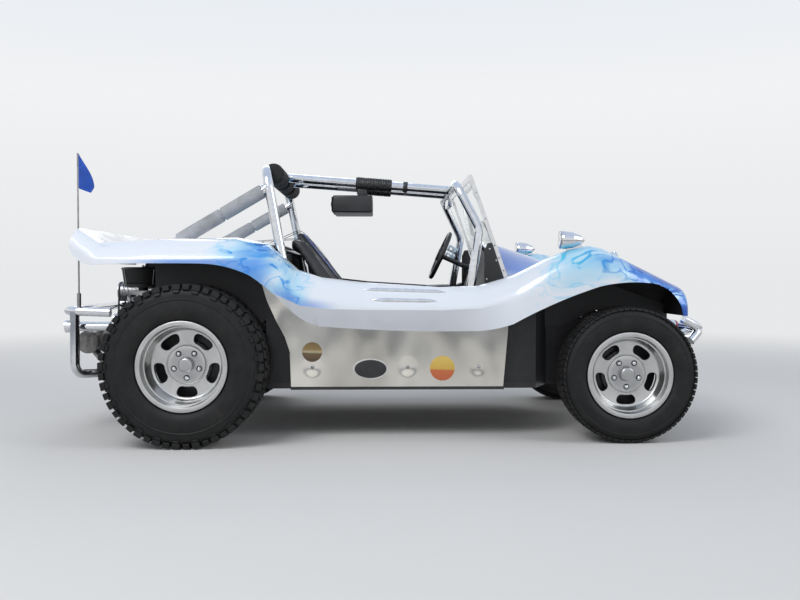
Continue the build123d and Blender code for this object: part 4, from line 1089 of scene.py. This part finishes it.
# overhead box with a recessed face and two knobs, hung from the roof bars
console = {"low": (-281, -165, 1112), "high": (-70, 165, 1203), "face": ((0.012, 0), (0.002, -0.006)),
           "knob": ((0, 0), (17, 0), (17, 3), (13, 4), (13, 15), (11, 17), (0, 17)),
           "clamp": ((22.6, 0), (27, 0), (28, 2), (28, 22), (27, 24), (22.6, 24), (22.6, 0))}
shell = slab("consoleShell", console["low"], console["high"], 9, 3)
insetFaces(shell, behind, console["face"])
finishPiece(shell, "blackSteel", 35, replaces=("overhead_console",))
knobs = [turned(f"consoleKnob{y}", console["knob"], (-275, y, 1158), behind, 28) for y in (-120, 120)]
finishPiece(joinPieces(*knobs), "vinyl", 35)
hangers = [slab(f"hanger{y}", (-150, y - 15, 1190), (-100, y + 15, barHeight(-125) - 20), 4)
           for y in (-sleeve["y"], sleeve["y"])]
finishPiece(joinPieces(*hangers), "blackSteel", 35)
clamp = turned("barClamp", console["clamp"], (92, -130, barHeight(92)), (24, 0, barHeight(116) - barHeight(92)), 32)
lug = slab("clampLug", (97, -141, barHeight(104) - 44), (111, -119, barHeight(104) - 22), 2)
finishPiece(joinPieces(clamp, lug), "blackSteel", 35)

# switch plates over the steering column, and trim panels at the ends of the dash
switches = {"lean": math.radians(28), "holes": ((0.32, 7.5), (0.78, 3.2)), "y": 352}
cowlTrim = {"outline": ((474, 655), (474, 900), (489, 934), (512, 936), (586, 716), (586, 655)), "y": (566, 572),
            "screws": ((500, 905), (486, 760), (532, 850), (570, 735))}
screen = {"foot": (605, 706), "top": (406, 1266), "side": 542, "screws": (0.06, 0.17, 0.28, 0.39, 0.62, 0.85)}


def switchPlate(name, x, z, long):
    plate = slab(name, (-19, -1.5, 0), (19, 1.5, long), 1.2)
    for share, size in switches["holes"]:
        rows = ((0, -5), (size, -5), (size, 5), (0, 5))
        cutOut(plate, turned("holeCutter", rows, (0, 0, long * share), (0, 1, 0), side=ahead))
    layAlong(plate, mm(x, switches["y"], z), (math.cos(switches["lean"]), 0, -math.sin(switches["lean"])))
    return plate


plates = [switchPlate("switchPlateUpper", 372, 946, 60), switchPlate("switchPlateLower", 356, 902, 58)]
post = slab("switchPost", (396, 346, 868), (404, 350, 926), 1, 1)
finishPiece(joinPieces(*plates, post), "plateBlue", 35)
for side, word in bothSides:
    inner, outer = (side * y for y in cowlTrim["y"])
    finishPiece(plateShape(f"cowlTrim{word}", cowlTrim["outline"], inner, outer, 1.2), "vinyl", 35)
    fixings(f"trimScrews{word}", "small", [(x, outer, z) for x, z in cowlTrim["screws"]], (0, side, 0))
for side, word in bothSides:
    spots = [Vector(screen["foot"]).lerp(Vector(screen["top"]), share) for share in screen["screws"]]
    fixings(f"screenScrews{word}", "small", [(x, side * screen["side"], z) for x, z in spots], (0, side, 0))
print("cockpit fittings made")

# instruments: bezels, ticks and needles; rows are y, z and radius
dials = {"rows": ((245, 805, 38), (160, 800, 26), (95, 800, 26), (30, 800, 26)), "ticks": 9,
         "hub": ((0, 0), (4, 0), (4, 2), (3, 2.6), (0, 2.6))}
bezels, ticks = [], []
for i, (y, z, radius) in enumerate(dials["rows"]):
    faceX = 478 + (z - 712) * 49 / 213 - 9
    rows = ((radius - 5, 0), (radius, 0), (radius, 2.5), (radius - 1.5, 4.5), (radius - 3, 4.5), (radius - 5, 1),
            (radius - 5, 0))
    bezels.append(turned(f"bezel{i}", rows, (faceX, y, z), behind, 48))
    for step in range(dials["ticks"]):
        angle = math.radians(225 - 270 * step / (dials["ticks"] - 1))
        across, rise, out = math.cos(angle), math.sin(angle), radius - 9
        tick = slab(f"tick{i}{step}", (-0.3, -0.7, 0), (0.3, 0.7, 5), 0.2, 1)
        layAlong(tick, mm(faceX - 0.6, y + out * across, z + out * rise), (0, across, rise), (0, -rise, across))
        ticks.append(tick)
    needle = slab(f"needle{i}", (-0.4, -0.9, 0), (0.4, 0.9, radius - 11), 0.3, 1)
    layAlong(needle, mm(faceX - 1.4, y, z), (0, -5, 6), ahead)
    ticks += [needle, turned(f"needleHub{i}", dials["hub"], (faceX, y, z), behind, 20)]
finishPiece(joinPieces(*bezels), "chrome")
finishPiece(joinPieces(*ticks), "paleEdge")

# lamps: bright rim and ribbed lens in front, red lenses and rings behind; places are x, half width and z
lamps = {
    "head": (1048, 384, 813), "tail": (-1436, 520, 880), "blink": (1436, 478, 528), "mirror": (824, 650, 945),
    "rim": ((79, 101), (86, 100), (89.5, 103), (90.5, 108), (88, 112.5), (83, 114), (79.5, 111), (79, 101)),
    "lens": [(0, 112), (30, 111.5), (60, 107.5), (79, 101.5), (79, 104), (74, 108.2)],
    "bowl": ((0, 97), (20, 97.3), (50, 98.4), (77, 100.4), (77, 100.8), (50, 99), (20, 98), (12, 98), (11, 106),
             (6, 108), (0, 108)),
    "ring": ((42, 0), (46, 0), (47, 3), (47, 9), (44, 12), (42, 12), (42, 0)),
    "tailLens": [(0, 2), (41.9, 2), (41.9, 8)],
    "mirrorGlass": ((0, -0.2), (37, -0.2), (37, 1), (36, 1.8), (0, 1.8)),
    "mirrorBand": ((39.5, -1.5), (41.8, -1), (42, 1.5), (40.5, 3), (38, 2.4), (37, 0.2)),
    "blinkLens": ((0, -0.5), (27, -0.5), (28, 1), (28, 4), (26, 5), (24, 9), (14, 12), (0, 13)),
}


def ribbed(count, widest, pitch, height, curve, rise):
    # a domed lens in fine steps, from its edge inwards
    radii = [widest - step * pitch for step in range(count)]
    return [(radius, height - radius * radius * curve + rise * (i % 2)) for i, radius in enumerate(radii)]


for side, word in bothSides:
    head, tail, mirror = ((x, side * y, z) for x, y, z in (lamps["head"], lamps["tail"], lamps["mirror"]))
    finishPiece(turned(f"lampRim{word}", lamps["rim"], head, ahead, 64), "chrome")
    lens = lamps["lens"] + ribbed(14, 70, 5, 117.6, 0.0018, 0.9) + [(0, 118.4)]
    finishPiece(turned(f"lampLens{word}", lens, head, ahead, 64), "lensGlass", replaces=("headlamp_lenses",))
    finishPiece(turned(f"lampBowl{word}", lamps["bowl"], head, ahead, 48), "mirror")
    finishPiece(turned(f"tailRing{word}", lamps["ring"], tail, behind, 48), "chrome")
    lens = lamps["tailLens"] + ribbed(10, 40, 4.4, 14.5, 0.003, 0.8) + [(0, 15.5)]
    finishPiece(turned(f"tailLens{word}", lens, tail, behind, 48), "redLens")
    finishPiece(turned(f"mirrorGlass{word}", lamps["mirrorGlass"], mirror, behind, 48), "mirror")
    finishPiece(turned(f"mirrorBand{word}", lamps["mirrorBand"], mirror, ahead, 48), "steel")
for side, word in bothSides:
    x, y, z = lamps["blink"]
    finishPiece(turned(f"indicatorLens{word}", lamps["blinkLens"], (x, side * y, z), ahead, 40), "redLens")
finishPiece(slab("interiorGlass", (334.5, -100, 1154), (337.2, 100, 1192), 1.2), "mirror")
print("lamps and mirrors made")

# blank number plate with a raised border and two screws
numberPlate = {"low": (-1443, -260, 840), "high": (-1440, 260, 951), "screwY": 190, "screwZ": 896,
               "border": ((0.005, 0), (0.003, 0.0012), (0.003, -0.0012))}
plate = slab("plateBlank", numberPlate["low"], numberPlate["high"], 1.2)
insetFaces(plate, behind, numberPlate["border"])
finishPiece(plate, "plate", 35)
spots = [(numberPlate["low"][0], side * numberPlate["screwY"], numberPlate["screwZ"]) for side in (-1, 1)]
fixings("plateScrews", "small", spots, behind)

# engine: belt and pulleys, filter lids and clips, carburettor tops, linkage, rocker clips, shroud and dynamo trim
engine = {
    "beltX": -1438, "beltRadius": 5.5, "pulleyX": -1446.5, "crank": (400, 82), "dynamo": (690, 52),
    "filterX": -1236, "filterY": 315, "filterZ": 722,
    "lid": ((0, 97), (60, 97), (88, 98), (105, 94), (107, 91), (107, 87), (104.6, 85), (104.6, 96), (0, 96)),
    "base": ((0, -3), (70, -3), (90, 0), (92, 3), (92, 12), (88.6, 13), (88.4, 1), (0, 1)),
    "nut": ((0, 0), (7, 0), (7, 6), (4, 8), (4, 12), (0, 13)),
    "bowl": ((0, 0), (22, 0), (25, 3), (25, 34), (22, 37), (0, 37)),
    # x, y and z
    "rod": ((-1345, 352, 728), (-1330, 352, 735), (-1312, 352, 735), (-1306, 350, 720), (-1290, 348, 640),
            (-1286, 346, 628)),
    "lever": ((-1300, 640), (-1296, 648), (-1272, 622), (-1276, 612), (-1292, 622)),
    "clipX": (-1135, -1285), "clip": ((382, 352), (410, 352), (413, 400), (410, 450), (382, 452)),
    "shroudRing": ((152, 0), (158, 2), (158, 10), (152, 12), (150.5, 12), (150.5, 0)),
    "muffler": ((0, -4), (56.2, -4), (58, -2), (58, 4), (56, 6), (50, 8), (36, 15), (18, 19), (0, 20)),
    "strap": ((48.4, 0), (51, 1), (51, 27), (48.4, 28)),
    "cap": ((0, 0), (49.5, 0), (50.5, 2), (50.5, 8), (49.5, 10), (0, 10)),
}
loop = []
for name, first in (("dynamo", 0), ("crank", 180)):
    height, radius = engine[name]
    reach = (radius - 2) * 1.04
    for step in range(7):
        angle = math.radians(first + 180 * step / 6)
        loop.append((engine["beltX"], reach * math.cos(angle), height + reach * math.sin(angle)))
finishPiece(tubePath("fanBelt", loop, engine["beltRadius"], closed=True), "vinyl", 60)
parts = []
for name in ("crank", "dynamo"):
    height, radius = engine[name]
    rows = ((0, -2), (14, -2), (16, 2), (20, 2), (22, 5), (radius - 12, 5), (radius - 9, -1), (radius + 1.5, -1),
            (radius + 1.5, 3), (radius - 4, 8), (radius - 4, 11), (radius + 1.5, 16), (radius + 1.5, 20),
            (radius - 2, 21), (0, 21))
    parts.append(turned(f"{name}Pulley", rows, (engine["pulleyX"], 0, height), ahead, 56))
finishPiece(joinPieces(*parts), "steel")
for side, word in bothSides:
    x, y, z = engine["filterX"], side * engine["filterY"], engine["filterZ"]
    lid, base = (turned(f"filter{part}{word}", engine[part.lower()], (x, y, z), up, 64) for part in ("Lid", "Base"))
    finishPiece(joinPieces(lid, base), "blackSteel")
    wing = [turned(f"filterNut{word}", engine["nut"], (x, y, 819), up, 16)]
    for turn in range(4):
        angle = math.radians(45 + 90 * turn)
        points = [(x + out * math.cos(angle), y + out * math.sin(angle), height)
                  for out, height in ((103, 812), (103, 790), (95, 750), (95, 732))]
        wing.append(tubePath(f"filterClip{word}{turn}", points, 2.2))
    finishPiece(joinPieces(*wing), "steel", 45)
    carb = [slab(f"carbFlange{word}", (-1276, y - 36, 603), (-1194, y + 36, 611), 2),
            slab(f"carbTop{word}", (-1272, y - 34, 694), (-1198, y + 34, 702), 2),
            turned(f"carbBowl{word}", engine["bowl"], (-1275, y, 655), behind, 28)]
    carb += [turned(f"carbBolt{word}{dx}{dy}", fixing["small"], (-1235 + dx, y + dy, 611), up, 12)
             for dx in (-32, 32) for dy in (-28, 28)]
    finishPiece(joinPieces(*carb), "cast")
    rods = [tubePath(f"throttleRod{word}", [(x, side * y, z) for x, y, z in engine["rod"]], 2.6),
            plateShape(f"throttleLever{word}", engine["lever"], side * 344, side * 348, 0.6)]
    finishPiece(joinPieces(*rods), "steel", 45)
    clips = [tubePath(f"rockerClip{word}{x}", [(x, side * y, z) for y, z in engine["clip"]], 2.8)
             for x in engine["clipX"]]
    finishPiece(joinPieces(*clips), "steel", 45)
ribs = [turned("shroudRing", engine["shroudRing"], (-1291, 0, 700), ahead, 72)]
ribs += [slab(f"shroudRib{y}", (-1292, y - 3, 566), (-1288, y + 3, 634), 1.2, 1)
         for y in range(-240, 241, 40) if abs(y) > 60]
finishPiece(joinPieces(*ribs), "chrome")
for side, word in bothSides:
    end = turned(f"mufflerEnd{word}", engine["muffler"], (-1512, side * 330, 440), (0, side, 0), 48, up)
    finishPiece(end, "darkSteel")
band = [turned("dynamoStrap", engine["strap"], (-1372, 0, 690), ahead, 48)]
band += [turned(f"dynamoCap{x}", engine["cap"], (x, 0, 690), ahead, 48) for x in (-1418, -1300)]
finishPiece(joinPieces(*band), "cast")
print("engine fittings made")

# floor, light and camera
studio = {"floorSize": 60.0, "floorColor": (0.74, 0.73, 0.71), "ground": (0.34, 0.34, 0.33),
          "glow": (0.80, 0.81, 0.82), "fade": (2.4, 9.0), "sky": 0.55}
bpy.ops.mesh.primitive_plane_add(size=studio["floorSize"], location=(0, 0, 0))
floor = bpy.context.object
floor.name = "paleFloor"
floorFinish, floorShader = newFinish("paleFloor", studio["floorColor"], 0.0, 0.9)
# the floor fades into the backdrop far from the car, where only the eye and bright metal see it
tree = floorShader.id_data
across = axes(place(floorShader))
glow = addNode(tree, "Emission", {"Color": studio["glow"]})
rays = addNode(tree, "LightPath", {}).outputs
shown = calc("MAXIMUM", rays["Is Camera Ray"], rays["Is Transmission Ray"])
fade = times(between(distance(across[0], across[1]), *studio["fade"]), shown)
join = addNode(tree, "MixShader", {0: fade, 1: floorShader.outputs[0], 2: glow.outputs[0]})
give(tree.nodes["Material Output"].inputs["Surface"], join.outputs[0])
floor.data.materials.append(floorFinish)

world = bpy.data.worlds.new("studioWorld")
bpy.context.scene.world = world
world.use_nodes = True
tree = world.node_tree
upward = axes(addNode(tree, "TexCoord", {}).outputs["Generated"])[2]
height = scaled(upward, 0.5, 0.5)
sky = tree.nodes["Background"]
give(sky.inputs["Color"], ramp(height, (
    (0.46, studio["ground"]), (0.52, (0.62, 0.66, 0.68)), (0.62, (0.88, 0.89, 0.91)), (0.9, (0.60, 0.68, 0.82)))))
give(sky.inputs["Strength"], studio["sky"])
plain = addNode(tree, "Background", {"Color": ramp(height, (
    (0.30, studio["glow"]), (0.497, studio["glow"]), (0.60, (0.88, 0.89, 0.90)), (0.85, (0.62, 0.72, 0.90))))})
rays = addNode(tree, "LightPath", {}).outputs
shown = calc("MAXIMUM", rays["Is Camera Ray"], rays["Is Glossy Ray"])
shown = calc("MAXIMUM", shown, rays["Is Transmission Ray"])
swap = addNode(tree, "MixShader", {0: shown, 1: sky.outputs[0], 2: plain.outputs[0]})
give(tree.nodes["World Output"].inputs["Surface"], swap.outputs[0])

# place, size and power of each lamp; all look at the same spot
lights = {"keyLight": ((-2.6, -4.2, 5.0), 3.0, 190), "frontLight": ((5.0, -2.5, 3.4), 2.5, 70),
          "backLight": ((-1.0, 5.0, 4.0), 3.0, 80)}
for name, (spot, size, power) in lights.items():
    bpy.ops.object.light_add(type="AREA", location=spot)
    light = bpy.context.object
    light.name = name
    light.data.size = size
    light.data.energy = power
    light.rotation_euler = (Vector((0, 0, 0.5)) - light.location).to_track_quat("-Z", "Y").to_euler()

cameraFit = {"place": (-0.031, -4.674, 0.770), "lens": 38.25, "sensor": 36, "yaw": 1.35, "pitch": 1.55}
bpy.ops.object.camera_add(location=cameraFit["place"])
camera = bpy.context.object
camera.name = "sideCamera"
camera.data.lens = cameraFit["lens"]
camera.data.sensor_width = cameraFit["sensor"]
camera.rotation_euler = (math.radians(90 - cameraFit["pitch"]), 0, math.radians(-cameraFit["yaw"]))
bpy.context.scene.camera = camera
bpy.context.scene.view_settings.view_transform = "Standard"
print("stage ready")
